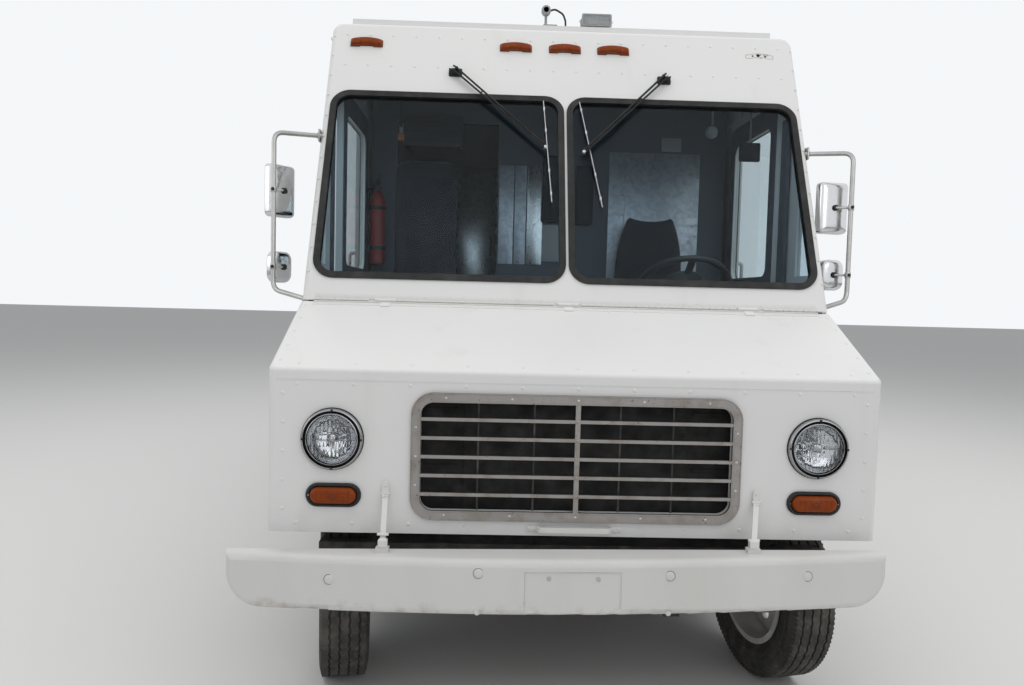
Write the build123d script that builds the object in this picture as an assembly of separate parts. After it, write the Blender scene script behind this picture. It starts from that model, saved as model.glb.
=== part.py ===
from build123d import *
import os
from math import atan2, cos, degrees, hypot, radians, sin, tan

# A walk-in step van fitted out as a food truck, in millimetres.
# The front faces -Y, the driver's side is +X and the kerb side is -X. Stations run back from the
# nose panel, and every piece is moved at export so that the origin is under the middle of the truck.

# Overall size of the body
body_width = 2340.0
nose_bottom = 810.0
crease_height = 1432.0
hinge_station = 512.0
hinge_height = 1684.0
roof_station = 1124.0
roof_height = 3081.0
body_rear = 6450.0
wall = 30.0
roof_edge_radius = 60.0
front_edge_radius = 28.0
skirt_bottom = 450.0

# Wheels and axles
axle_station = 610.0
wheelbase = 3990.0
tyre_radius = 405.5
tyre_width = 210.0
bead_radius = 250.0
rim_width = 176.0
rim_wall = 12.0
axle_tube = 50.0
spring_x = 400.0
spring_half_width = 32.0
spring_thickness = 45.0
front_wheel_x = 983.0
twin_inner_x = 750.0
twin_outer_x = 1000.0
kingpin_x = 873.0
kingpin_radius = 15.0
steer_at_rest = 11.0
steer_arm = 150.0
arch_gap = 75.0

# Ladder frame
rail_outer_x = 432.0
rail_flange = 75.0
rail_web = 8.0
rail_bottom = 520.0
rail_height = 200.0
rail_front = 40.0
rail_rear = 6400.0
gearbox_rear = 1500.0

# Floor
deck_bottom = 830.0
deck_thickness = 30.0
deck_side_gap = 80.0

# Nose shell
hood_wall = 20.0
hood_corner = 28.0
hood_edge_radius = 18.0
hood_side_gap = 6.0
lamp_side = 245.0
lamp_height = 1168.0
lamp_ring_radius = 116.0
lamp_lens_radius = 89.0
lamp_hole_radius = 94.0
turn_side = 252.0
turn_drop = 213.0
turn_length = 208.0
turn_width = 90.0
grille_half_width = 630.0
grille_low = 866.0
grille_high = 1352.0
grille_rim = 37.0
grille_corner = 85.0
grille_bar = 13.0
grille_bar_pitch = 71.5
grille_bar_count = 5
grille_post = 19.0
grille_proud = 12.0
lap_low = 1391.0
lap_height = 21.0
lap_thickness = 2.0
lap_side_gap = 36.0

# Windscreen, measured up the sloping cab front from the nose hinge
pane_low = 108.0
pane_header = 415.0
pane_inner_x = 6.0
pane_side = 32.0
pane_corner = 95.0
gasket_lip = 12.0
gasket_width = 30.0
gasket_proud = 8.0
glass_thickness = 6.0
glass_depth = 6.0

# Cab doors
door_front = 1080.0
door_rear = 1830.0
door_sill = 455.0
door_header = 301.0
door_overlap = 20.0
door_thickness = 34.0
door_clearance = 6.0
door_travel = 760.0
window_low = 1852.0
window_header = 140.0
window_margin = 70.0
window_corner = 60.0
quarter_rear = 860.0
quarter_top_width = 20.0
quarter_pillar = 95.0

# Serving hatch in the kerb side
hatch_front = 2750.0
hatch_rear = 4250.0
hatch_height = 900.0
hatch_header = 531.0

# Rear doors
rear_opening_half = 640.0
rear_wall_bottom = 620.0
rear_sill = 860.0
rear_header = 361.0

# Gaps and fits
panel_gap = 6.0
seat_gap = 0.3
pin_fit = 0.06

# Bumpers
bumper_half_width = 1228.0
bumper_centre_x = -62.0
bumper_low = 575.0
bumper_high = 781.0
bumper_sheet = 8.0
bumper_bow = 89.0
bumper_reach = 200.0
bumper_back = 70.0
bumper_tilt = 0.76
bumper_end_radius = 130.0
bumper_edge_radius = 28.0
plate_left = -135.0
plate_right = 215.0
plate_top = 740.0
plate_depth = 5.0
latch_foot_height = 18.0
plate_hole_spacing = 178.0
plate_hole_radius = 5.5
plate_hole_height = 714.0
plate_hole_x = -20.0
rear_step_depth = 200.0

# Mirrors
mirror_width = 150.0
mirror_height = 241.0
mirror_depth = 45.0
low_mirror_width = 120.0
low_mirror_height = 146.0

# Hinges
hinge_barrel = 8.0
hinge_pin = 5.0
hinge_offset = 8.5
hinge_knuckle = 40.0
hinge_cheek = 25.0
hinge_leaf = 45.0

half = body_width / 2
inner_half = half - wall
deck_edge_x = half - deck_side_gap
lamp_x = half - lamp_side
turn_x = half - turn_side
turn_height = lamp_height - turn_drop
pane_outer_x = half - pane_side
overall_length = bumper_reach + body_rear + rear_step_depth
nose_y = -overall_length / 2 + bumper_reach
rear_axle_station = axle_station + wheelbase
rail_top = rail_bottom + rail_height
deck_top = deck_bottom + deck_thickness
slope_run = roof_station - hinge_station
slope_rise = roof_height - hinge_height
rake = degrees(atan2(slope_run, slope_rise))
slope_length = hypot(slope_run, slope_rise)
pane_high = slope_length - pane_header
hood_angle = degrees(atan2(hinge_height - crease_height, hinge_station))
door_head = roof_height - door_header
window_high = door_head - window_header
hatch_head = roof_height - hatch_header
hatch_sill = hatch_head - hatch_height
rear_head = roof_height - rear_header
counter_top = hatch_sill - 30.0
dash_top = hinge_height - 44.0


def block(x, y, z):
    """A box from three (low, high) pairs."""
    size = (x[1] - x[0], y[1] - y[0], z[1] - z[0])
    middle = ((x[0] + x[1]) / 2, (y[0] + y[1]) / 2, (z[0] + z[1]) / 2)
    return Pos(*middle) * Box(*size)


def side_prism(points, x):
    """A (station, height) outline extruded across the truck between two x values."""
    return extrude(Plane.YZ.offset(x[0]) * Polygon(*points, align=None), x[1] - x[0], dir=(1, 0, 0))


def rod(start, end, radius):
    """A round bar between two points."""
    line = Vector(*end) - Vector(*start)
    return extrude(Plane(origin=start, z_dir=line) * Circle(radius), line.length)


def flat_bar(start, end, width, thickness):
    """A flat bar between two points, with its width across the truck."""
    line = Vector(*end) - Vector(*start)
    ahead = line.normalized()
    across = (Vector(1, 0, 0) - ahead * ahead.X).normalized()
    return extrude(Plane(origin=start, x_dir=across, z_dir=ahead) * Rectangle(width, thickness), line.length)


def both_sides(piece):
    """The piece and its mirror image across the centre plane."""
    return piece + mirror(piece, Plane.YZ)


def bent_tube(points, radius, bend):
    """A tube along straight runs joined by arcs."""
    path = FilletPolyline(*points, radius=bend)
    section = Plane(origin=path @ 0, z_dir=path % 0) * Circle(radius)
    return sweep(section, path=path)


def hinge_pair(origin, toward, outward):
    """Fixed and moving halves of one hinge. Local x points to the moving panel, y out of its skin."""
    across = Vector(*toward)
    normal = Vector(*outward)
    frame = Plane(origin=origin, x_dir=across, z_dir=across.cross(normal))
    mid = hinge_knuckle / 2
    cheek_at = mid + seat_gap + hinge_cheek / 2
    span = hinge_knuckle + 2 * hinge_cheek
    moving = Cylinder(hinge_barrel, hinge_knuckle) + Cylinder(hinge_pin, span)
    moving += block((0, hinge_leaf), (-hinge_barrel, -hinge_barrel / 2), (-mid, mid))
    moving += block((14, hinge_leaf), (-hinge_offset, -hinge_barrel / 2), (-mid, mid))
    fixed = Part()
    for end in (-1, 1):
        cheek = Pos(0, 0, end * cheek_at) * Cylinder(hinge_barrel, hinge_cheek)
        leaf_z = (end * cheek_at - hinge_cheek / 2, end * cheek_at + hinge_cheek / 2)
        cheek += block((-hinge_leaf, 0), (-hinge_offset, -hinge_barrel / 2), leaf_z)
        fixed += cheek - Pos(0, 0, end * cheek_at) * Cylinder(hinge_pin + pin_fit, hinge_cheek + 2)
    return frame * fixed, frame * moving


def body_section(inset):
    """The body's cross section, with its rounded roof edges, as a solid over its whole length."""
    half_width = half - inset
    top = roof_height - inset
    low = skirt_bottom - 50
    outline = Plane.XZ * Pos(0, (top + low) / 2) * Rectangle(2 * half_width, top - low)
    solid = Pos(0, -100, 0) * extrude(outline, -(body_rear + 200))
    edges = solid.edges().filter_by(Axis.Y).group_by(Axis.Z)[-1]
    return fillet(edges, roof_edge_radius - inset)


def cab_profile(inset):
    """Side outline of the body behind the nose, set in from the outside by one wall."""
    lean = radians(rake)
    back_of_slope = inset / cos(lean)
    low = skirt_bottom - 50
    rear = body_rear - inset
    foot = hinge_station + back_of_slope - (hinge_height - low) * slope_run / slope_rise
    head = hinge_station + back_of_slope + (roof_height - hinge_height) * slope_run / slope_rise
    return [(foot, low), (head, roof_height), (rear, roof_height), (rear, low)]


def hollow_body():
    outer = body_section(0) & side_prism(cab_profile(0), (-half, half))
    slope = outer.faces().filter_by(lambda face: face.normal_at().Y < -0.5).sort_by(Axis.Z)[-1]
    around = slope.edges().filter_by(lambda edge: edge.center().Z > skirt_bottom)
    outer = fillet(around, front_edge_radius)
    inner = body_section(wall) & side_prism(cab_profile(wall), (-half, half))
    return outer - inner


shell = hollow_body()
side_x = (half - wall, half)
eave = roof_height - roof_edge_radius


def slope_plane(depth=0.0):
    """Plane of the cab front: x across, y up the slope, origin on the nose hinge line."""
    lean = radians(rake)
    normal = Vector(0, -cos(lean), sin(lean))
    origin = Vector(0, hinge_station, hinge_height) - normal * depth
    return Plane(origin=origin, x_dir=(1, 0, 0), z_dir=normal)


def pane_outline(inset, corner):
    """One windscreen pane's outline on the driver's side of the sloping front."""
    width = pane_outer_x - pane_inner_x - 2 * inset
    height = pane_high - pane_low - 2 * inset
    centre = ((pane_outer_x + pane_inner_x) / 2, (pane_high + pane_low) / 2)
    return Pos(*centre) * RectangleRounded(width, height, corner - inset)


def behind_front(depth):
    """Everything behind the plane of the cab front at a depth."""
    reach = 4000.0
    return extrude(slope_plane(depth) * Rectangle(reach, 2 * reach), -2 * reach)


def make_cab_front():
    front = shell - behind_front(wall)
    front = front & block((-half, half), (0, roof_station + 1), (hinge_height, roof_height + 1))
    opening = extrude(slope_plane(-10) * pane_outline(gasket_lip, pane_corner), -(wall + 60))
    front -= both_sides(opening)
    return front


def make_gaskets():
    ring = Part()
    layers = (
        # outer inset, inner inset, front, back
        (0.0, gasket_width, -gasket_proud, 0.0),
        (gasket_lip, 2 * gasket_lip, 0.0, wall),
        (2 * gasket_lip, gasket_width, 0.0, glass_depth),
        (2 * gasket_lip, gasket_width, glass_depth + glass_thickness, wall),
    )
    for outer, inner, front, back in layers:
        face = pane_outline(outer, pane_corner) - pane_outline(inner, pane_corner)
        ring += extrude(slope_plane(front) * face, -(back - front))
    return both_sides(ring)


def make_cab_glass():
    pane = extrude(slope_plane(glass_depth) * pane_outline(2 * gasket_lip, pane_corner), -glass_thickness)
    quarter = quarter_window(side_x[0] + 10, side_x[0] + 16, 0)
    return both_sides(pane) + both_sides(quarter)


def quarter_window(x_low, x_high, inset):
    """The narrow window between the front pillar and the cab door."""
    low = window_low + inset
    rear = quarter_rear - inset
    lean = slope_run / slope_rise
    pillar = quarter_pillar + inset / cos(radians(rake))
    front_low = hinge_station + (low - hinge_height) * lean + pillar
    front_high = rear - quarter_top_width
    high = hinge_height + (front_high - pillar - hinge_station) / lean
    points = [(front_low, low), (front_high, high), (rear, high), (rear, low)]
    return side_prism(points, (x_low, x_high))


def arch_cut(station):
    cutter = Pos(0, station, tyre_radius) * Rot(0, 90, 0) * Cylinder(tyre_radius + arch_gap, body_width + 200)
    return cutter


def make_side_wall(side):
    slab = block(side_x, (0, body_rear - wall), (skirt_bottom, eave))
    slab = slab & side_prism(cab_profile(wall), (0, half + 1))
    slab -= arch_cut(axle_station)
    slab -= block((0, half + 1), (-1000, axle_station), (0, nose_bottom))
    slab -= block((0, half + 1), (-1000, hinge_station + hood_side_gap), (0, roof_height))
    slab -= arch_cut(rear_axle_station)
    slab -= block((0, half + 1), (door_front, door_rear), (0, door_head))
    slab -= quarter_window(0, half + 1, 0)
    rail_low = door_head + door_overlap + 20
    slab += block(
        (side_x[0] - 15, side_x[0]),
        (door_front - 10, door_rear + door_travel + 60),
        (rail_low, rail_low + 30),
    )
    if side < 0:
        slab -= block((0, half + 1), (hatch_front, hatch_rear), (hatch_sill, hatch_head))
        slab = mirror(slab, Plane.YZ)
        for station in hatch_hinges:
            slab += hatch_hinge(station)[0]
    return slab


hatch_hinges = (hatch_front + 150, (hatch_front + hatch_rear) / 2, hatch_rear - 150)


def hatch_hinge(station):
    origin = (-half - hinge_offset, station, hatch_head)
    return hinge_pair(origin, (0, 0, -1), (-1, 0, 0))


def make_hatch():
    panel = block(
        (-half, -half + wall),
        (hatch_front + panel_gap, hatch_rear - panel_gap),
        (hatch_sill + panel_gap, hatch_head - panel_gap),
    )
    for station in hatch_hinges:
        panel += hatch_hinge(station)[1]
    return panel


roof_bar_half = half - 85.0
roof_bar_front = roof_station + 76.0
roof_bar_rear = roof_bar_front + 90.0
roof_bar_top = roof_height + 46.0
roof_panel_top = roof_height + 34.0


def make_roof():
    roof = shell & block((-half, half), (0, body_rear - wall), (eave, roof_height + 1))
    roof = roof & behind_front(wall)
    bar = block((-roof_bar_half, roof_bar_half), (roof_bar_front, roof_bar_rear), (roof_height, roof_bar_top))
    panel_x = (-roof_bar_half + 20, roof_bar_half - 20)
    panel = block(panel_x, (roof_bar_rear + 20, body_rear - 120), (roof_height, roof_panel_top))
    vent_base = block((-260, 260), (3300, 3820), (roof_panel_top, roof_panel_top + 40))
    vent_hood = block((-300, 300), (3260, 3860), (roof_panel_top + 40, roof_panel_top + 180))
    return roof + bar + panel + vent_base + fillet(vent_hood.edges().group_by(Axis.Z)[-1], 30)


def rear_hinge(side, height):
    origin = (side * (rear_opening_half + 8), body_rear + hinge_offset, height)
    return hinge_pair(origin, (-side, 0, 0), (0, 1, 0))


rear_hinge_heights = (rear_sill + 250, (rear_sill + rear_head) / 2, rear_head - 250)


def make_rear_wall():
    frame = shell & block((-half, half), (body_rear - wall, body_rear), (rear_wall_bottom, roof_height + 1))
    through = (body_rear - 2 * wall, body_rear + 2 * wall)
    frame -= block((-rear_opening_half, rear_opening_half), through, (rear_sill, rear_head))
    for side in (-1, 1):
        for height in rear_hinge_heights:
            frame += rear_hinge(side, height)[0]
    return frame


def make_rear_door(side):
    near = panel_gap / 2
    far = rear_opening_half - panel_gap
    x = (near, far) if side > 0 else (-far, -near)
    panel = block(x, (body_rear - wall, body_rear), (rear_sill + panel_gap, rear_head - panel_gap))
    for height in rear_hinge_heights:
        panel += rear_hinge(side, height)[1]
    return panel


def make_floor():
    length = (hinge_station + hood_side_gap, body_rear - wall)
    deck = block((-inner_half, inner_half), length, (deck_bottom, deck_top))
    slot_rear = door_rear + door_travel + 40
    for side in (-1, 1):
        slot_x = sorted((side * deck_edge_x, side * half))
        deck -= block(slot_x, (door_front - 30, slot_rear), (0, 1000))
        well_x = sorted((side * (deck_edge_x - 330), side * half))
        deck -= block(well_x, (door_front + 10, door_rear), (0, 1000))
    tunnel = engine_cover_half - engine_cover_sheet
    deck -= block((-tunnel, tunnel), (0, engine_cover_rear - engine_cover_sheet), (0, deck_top + 1))
    for station in (1250, 2050, 2850, 3650, 5450, 6250):
        reach = deck_edge_x - 50 if station > 1300 else rail_outer_x + 200
        deck += block((-reach, reach), (station - 30, station + 30), (rail_top, deck_bottom))
    well = step_well()
    deck += both_sides(well)
    return deck


def step_well():
    """Entry step beside the cab door, open to the outside and above."""
    sheet = 12.0
    x = (deck_edge_x - 330, deck_edge_x)
    y = (door_front + 10, door_rear)
    low = door_sill - sheet - 8
    step_height = (low + deck_top) / 2
    well = block(x, y, (low, deck_top))
    well -= block((x[0] + sheet, x[1] + 1), (y[0] + sheet, y[1] - sheet), (low + sheet, deck_top + 1))
    well += block((x[0], x[0] + 150), y, (low, step_height))
    return well


engine_cover_rear = 1000.0
engine_cover_half = 350.0
engine_cover_top = 1350.0
engine_cover_sheet = 20.0


def make_firewall():
    """Wall below the windscreen with the cover that closes over the back of the engine."""
    top = hinge_height - 2
    panel = block((-inner_half, inner_half), (hinge_station + 8, hinge_station + 28), (deck_top, top))
    inside_x = (-engine_cover_half + engine_cover_sheet, engine_cover_half - engine_cover_sheet)
    inside_top = engine_cover_top - engine_cover_sheet
    panel -= block(inside_x, (0, engine_cover_rear), (0, inside_top))
    cover_x = (-engine_cover_half, engine_cover_half)
    cover = block(cover_x, (hinge_station + 8, engine_cover_rear), (deck_top, engine_cover_top))
    cover -= block(inside_x, (0, engine_cover_rear - engine_cover_sheet), (0, inside_top))
    return panel + cover


def make_bulkhead():
    edge = deck_edge_x - 6
    panel = block((-edge, edge), (1900, 1925), (deck_top, roof_height - wall - 40))
    panel -= block((-926, -316), (1800, 2000), (deck_top, door_head - 20))
    return panel


def rail_piece():
    web = block((rail_outer_x - rail_web, rail_outer_x), (rail_front, rail_rear), (rail_bottom, rail_top))
    flange_x = (rail_outer_x - rail_flange, rail_outer_x)
    low = block(flange_x, (rail_front, rail_rear), (rail_bottom, rail_bottom + rail_web))
    high = block(flange_x, (rail_front, rail_rear), (rail_top - rail_web, rail_top))
    return web + low + high


cross_bar_top = 760.0


def make_chassis():
    frame = both_sides(rail_piece())
    inner = rail_outer_x - rail_web
    for station in (1650, 2500, 3400, 4150, 5050, 5800, 6360):
        member = block((-inner, inner), (station - 30, station + 30), (rail_top - 108, rail_top - 8))
        member -= block((-inner, inner), (station - 22, station + 30), (rail_top - 100, rail_top - 16))
        frame += member
    frame += block((-980, 980), (rail_front, rail_front + 60), (rail_top, cross_bar_top))
    horn_back = rail_front + 120
    horn = block((rail_outer_x, rail_outer_x + 10), (-bumper_back, horn_back), (620, 715))
    pad = block((rail_outer_x - 60, rail_outer_x + 60), (-bumper_back, -bumper_back + 10), (620, 715))
    frame += both_sides(horn + pad)
    return frame


def make_engine():
    engine = block((-250, 250), (190, 900), (460, 1240))
    engine = chamfer(engine.edges().filter_by(Axis.Y), 60)
    gearbox = block((-160, 160), (900, gearbox_rear), (480, 710))
    between_rails = (-rail_outer_x + rail_web, rail_outer_x - rail_web)
    feet = block(between_rails, (430, 510), (600, 660))
    gear_feet = block(between_rails, (gearbox_rear - 100, gearbox_rear - 40), (600, 640))
    return engine + gearbox + feet + gear_feet


def make_radiator():
    core = block((-430, 430), (rail_front + 10, rail_front + 60), (cross_bar_top, crease_height - 62))
    shroud = Pos(0, rail_front + 85, 1080) * Rot(90, 0, 0) * Cylinder(250, 50)
    return core + shroud


def make_front_axle():
    low = 290.0
    high = 370.0
    depth = 35.0
    boss_z = (tyre_radius - 50, tyre_radius + 50)
    points = [(-450, low), (450, low), (720, boss_z[0] + 5), (kingpin_x, boss_z[0] + 5)]
    points += [(kingpin_x, boss_z[1] - 5), (700, boss_z[1] - 5), (450, high), (-450, high)]
    points += [(-700, boss_z[1] - 5), (-kingpin_x, boss_z[1] - 5)]
    points += [(-kingpin_x, boss_z[0] + 5), (-720, boss_z[0] + 5)]
    section = Plane.XZ * Polygon(*points, align=None)
    beam = Pos(0, axle_station + depth, 0) * extrude(section, 2 * depth, dir=(0, -1, 0))
    boss = Pos(kingpin_x, axle_station, tyre_radius) * Cylinder(32, boss_z[1] - boss_z[0])
    bore = Pos(kingpin_x, axle_station, tyre_radius) * Cylinder(kingpin_radius + pin_fit, 200)
    return beam + both_sides(boss) - both_sides(bore)


def steered(piece, side):
    """Turn a piece about its kingpin to the angle in which the truck is parked."""
    pivot = (side * kingpin_x, axle_station, 0)
    back = (-side * kingpin_x, -axle_station, 0)
    return Pos(*pivot) * Rot(0, 0, steer_at_rest) * Pos(*back) * piece


def make_knuckle(side):
    """Yoke with kingpin and stub axle, and the arm to the tie rod."""
    pin = Pos(kingpin_x, axle_station, tyre_radius) * Cylinder(kingpin_radius, 170)
    yoke = Part() + pin
    for low, high in ((tyre_radius + 55, tyre_radius + 85), (tyre_radius - 85, tyre_radius - 55)):
        ear = block((kingpin_x, kingpin_x + 62), (axle_station - 32, axle_station + 32), (low, high))
        ear += Pos(kingpin_x, axle_station, (low + high) / 2) * Cylinder(32, high - low)
        yoke += ear
    web_z = (tyre_radius - 85, tyre_radius + 85)
    yoke += block((kingpin_x + 42, kingpin_x + 62), (axle_station - 45, axle_station + 45), web_z)
    stub_end = (front_wheel_x + 85, axle_station, tyre_radius)
    yoke += rod((kingpin_x + 62, axle_station, tyre_radius), stub_end, 25)
    arm_low = tyre_radius - 85
    arm_y = (axle_station, axle_station + steer_arm)
    arm = block((kingpin_x - 15, kingpin_x + 15), arm_y, (arm_low, arm_low + 24))
    arm += Pos(kingpin_x, axle_station + steer_arm, arm_low + 12) * Cylinder(20, 24)
    stud = Pos(kingpin_x, axle_station + steer_arm, arm_low - 15) * Cylinder(8, 30 + 1)
    yoke += arm + stud
    if side < 0:
        yoke = mirror(yoke, Plane.YZ)
    return steered(yoke, side)


def make_tie_rod():
    """Rod between the two steering arms, turned with them and kept square to the truck."""
    angle = radians(steer_at_rest)
    shift_x = -steer_arm * sin(angle)
    shift_y = steer_arm * cos(angle)
    arm_low = tyre_radius - 85
    level = arm_low - seat_gap - 12
    at = (shift_x, axle_station + shift_y, level)
    bar = Pos(*at) * Rot(0, 90, 0) * Cylinder(10, 2 * kingpin_x - 30)
    for end in (-1, 1):
        eye = Pos(at[0] + end * kingpin_x, at[1], at[2]) * (Cylinder(20, 24) - Cylinder(8 + pin_fit, 60))
        bar += eye
    for end in (-1, 1):
        bar -= Pos(at[0] + end * kingpin_x, at[1], at[2]) * Cylinder(8 + pin_fit, 60)
    return bar


def wheel_revolve(points, centre_x):
    """A profile of (offset from the wheel's centre plane, radius) spun about the axle line."""
    face = Plane.XY * Polygon(*points, align=None)
    return Pos(centre_x, 0, 0) * revolve(face, Axis.X, 360)


def tyre_solid(centre_x):
    tread = tyre_width / 2 - 20
    side = tyre_width / 2
    bead = rim_width / 2 - 8
    half_profile = [
        (bead, bead_radius),
        (bead, bead_radius + 16),
        (side, bead_radius + 66),
        (tread, tyre_radius),
    ]
    mirrored = [(-x, radius) for x, radius in reversed(half_profile)]
    return wheel_revolve(half_profile + mirrored, centre_x)


def rim_barrel(centre_x):
    edge = rim_width / 2
    points = [(-edge, bead_radius - rim_wall), (edge, bead_radius - rim_wall), (edge, bead_radius + 12)]
    points += [(edge - 4, bead_radius + 12), (edge - 4, bead_radius), (-edge + 4, bead_radius)]
    points += [(-edge + 4, bead_radius + 12), (-edge, bead_radius + 12)]
    return wheel_revolve(points, centre_x)


def wheel_disc(centre_x, thickness):
    face = (centre_x - thickness / 2, centre_x + thickness / 2)
    disc = rod((face[0], 0, 0), (face[1], 0, 0), bead_radius - rim_wall / 2)
    for index in range(5):
        angle = radians(72 * index)
        at = (0, 170 * cos(angle), 170 * sin(angle))
        disc -= rod((face[0] - 1, at[1], at[2]), (face[1] + 1, at[1], at[2]), 30)
    return disc


def wheel_at(piece, station, side):
    if side < 0:
        piece = mirror(piece, Plane.YZ)
    return Pos(0, station, tyre_radius) * piece


def make_front_rim(side):
    disc_x = front_wheel_x + 45
    rim = rim_barrel(front_wheel_x) + wheel_disc(disc_x, 14)
    hub = rod((kingpin_x + 62 + 8, 0, 0), (front_wheel_x + 100, 0, 0), 62)
    drum = rod((kingpin_x + 62 + 8, 0, 0), (disc_x, 0, 0), 130)
    rim += hub + drum
    rim -= rod((kingpin_x, 0, 0), (front_wheel_x + 88, 0, 0), 25 + pin_fit)
    return steered(wheel_at(rim, axle_station, side), side)


def make_front_tyre(side):
    return steered(wheel_at(tyre_solid(front_wheel_x), axle_station, side), side)


def make_rear_rims(side):
    middle = (twin_inner_x + twin_outer_x) / 2
    rims = rim_barrel(twin_inner_x) + rim_barrel(twin_outer_x)
    inner_edge = twin_inner_x + rim_width / 2
    outer_edge = twin_outer_x - rim_width / 2
    rims += wheel_disc(middle, outer_edge - inner_edge + 2 * rim_wall)
    rims += rod((twin_inner_x - 90, 0, 0), (twin_outer_x + 20, 0, 0), 90)
    rims += rod((twin_inner_x - 90, 0, 0), (twin_inner_x, 0, 0), 165)
    rims -= rod((twin_inner_x - 200, 0, 0), (twin_outer_x, 0, 0), 45 + pin_fit)
    return wheel_at(rims, rear_axle_station, side)


def make_rear_tyres(side):
    return wheel_at(tyre_solid(twin_inner_x) + tyre_solid(twin_outer_x), rear_axle_station, side)


def make_rear_axle():
    centre = (0, rear_axle_station, tyre_radius)
    axle = rod((-twin_outer_x + 10, *centre[1:]), (twin_outer_x - 10, *centre[1:]), 45)
    axle += rod((-620, *centre[1:]), (620, *centre[1:]), axle_tube)
    axle += Pos(*centre) * Sphere(165)
    pinion = (0, rear_axle_station - 260, tyre_radius + 10)
    axle += rod((0, rear_axle_station - 100, tyre_radius), pinion, 60)
    axle += rod(pinion, (0, gearbox_rear - 40, 555), 40)
    axle -= block((-100, 100), (gearbox_rear - 100, gearbox_rear), (400, 700))
    for side in (-1, 1):
        x = sorted((side * (spring_x - spring_half_width), side * (spring_x + spring_half_width)))
        y = (rear_axle_station - 50, rear_axle_station + 50)
        axle += block(x, y, (tyre_radius, tyre_radius + axle_tube))
    return axle


def leaf_pack(station, seat_height, reach):
    """Leaves from a flat seat on the axle up to an eye under the rail at each end."""
    x = (spring_x - spring_half_width, spring_x + spring_half_width)
    eye_height = rail_bottom - 25
    points = [(station - 60, seat_height), (station + 60, seat_height), (station + reach, eye_height - 14)]
    points += [(station + reach, eye_height + 10), (station + 60, seat_height + spring_thickness)]
    points += [(station - 60, seat_height + spring_thickness), (station - reach, eye_height + 10)]
    points += [(station - reach, eye_height - 14)]
    pack = side_prism(points, x)
    for end in (-1, 1):
        eye = station + end * reach
        pack += block(x, (eye - 30, eye + 30), (eye_height - 20, rail_bottom))
    return both_sides(pack)


def make_springs():
    front = leaf_pack(axle_station, 370.0, 520.0)
    return front + leaf_pack(rear_axle_station, tyre_radius + axle_tube, 620.0)


def make_fuel_tank():
    tank = block((-900, -rail_outer_x), (2200, 3200), (470, 690))
    edges = tank.edges().filter_by(Axis.Y).group_by(Axis.X)[0]
    return fillet(edges, 50)


def make_exhaust():
    level = 480.0
    x = 600.0
    pipe = 25.0
    drop = level - 80
    engine_x = 190.0
    manifold_station = 720.0
    manifold_height = level - 20
    muffler_front = 2650.0
    muffler_rear = 3350.0
    outlet_station = 3800.0
    front_route = [(engine_x, manifold_station, manifold_height), (engine_x, manifold_station, drop)]
    front_route += [(engine_x, 1500, drop), (x, 1900, level), (x, muffler_front + 50, level)]
    tail_route = [(x, muffler_rear - 10, level), (x, outlet_station, level), (1120, outlet_station, level)]
    exhaust = bent_tube(front_route, pipe, 50)
    exhaust += rod((x, muffler_front, level), (x, muffler_rear, level), 95)
    exhaust += bent_tube(tail_route, pipe, 90)
    for station in (muffler_front + 50, muffler_rear - 50):
        exhaust += block((rail_outer_x, x), (station - 10, station + 10), (level + 60, level + 110))
        exhaust += block((x - 40, x + 40), (station - 10, station + 10), (level + 60, level + 110))
    return exhaust


def make_hood():
    """Tilting nose: front panel, sloping top and side returns in one shell."""
    def nose(inset, corner):
        cut = inset / cos(radians(hood_angle))
        top_rear = hinge_height - cut
        top_front = crease_height - cut + inset * (hinge_height - crease_height) / hinge_station
        front = inset
        rear = hinge_station + (inset > 0) * 200
        rear_top = top_rear + (inset > 0) * 200 * (hinge_height - crease_height) / hinge_station
        low = nose_bottom - (inset > 0) * 100
        outline = [(front, low), (front, top_front), (rear, rear_top), (rear, low)]
        solid = side_prism(outline, (-half + inset, half - inset))
        upright = solid.edges().filter_by(Axis.Z).group_by(Axis.Y)[0]
        return fillet(upright, corner)

    outside = nose(0, hood_corner)
    top = outside.faces().filter_by(lambda face: face.normal_at().Z > 0.5).sort_by(Axis.Z)[-1]
    rounded = top.edges().filter_by(lambda edge: edge.center().Y < hinge_station - 1)
    hood = fillet(rounded, hood_edge_radius) - nose(hood_wall, hood_corner - hood_wall)
    slope = Vector(0, cos(radians(hood_angle)), sin(radians(hood_angle)))
    edge = Plane(origin=Vector(0, hinge_station, hinge_height) - slope * 14, x_dir=(1, 0, 0), z_dir=slope)
    above_crease = block((-half, half), (0, roof_station), (crease_height, roof_height))
    hood -= extrude(edge * Rectangle(2 * body_width, 600), 200) & above_crease
    hood -= extrude(Plane.XZ.offset(50) * grille_outline(grille_rim), -200)
    for side in (-1, 1):
        hood -= rod((side * lamp_x, -50, lamp_height), (side * lamp_x, 100, lamp_height), lamp_hole_radius)
    lap_x = half - lap_side_gap
    hood += block((-lap_x, lap_x), (-lap_thickness, 1), (lap_low, lap_low + lap_height))
    for x in hood_hinges:
        hood += hood_hinge(x)[1]
    return hood


hood_hinges = (-800.0, 0.0, 800.0)


def hood_hinge(x):
    angle = radians(hood_angle)
    down = Vector(0, -cos(angle), -sin(angle))
    out = Vector(0, -sin(angle), cos(angle))
    origin = Vector(x, hinge_station, hinge_height) + down * 6 + out * hinge_offset
    return hinge_pair(tuple(origin), tuple(down), tuple(out))


def grille_outline(inset):
    width = 2 * (grille_half_width - inset)
    height = grille_high - grille_low - 2 * inset
    return Pos(0, (grille_low + grille_high) / 2) * RectangleRounded(width, height, grille_corner - inset)


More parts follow.
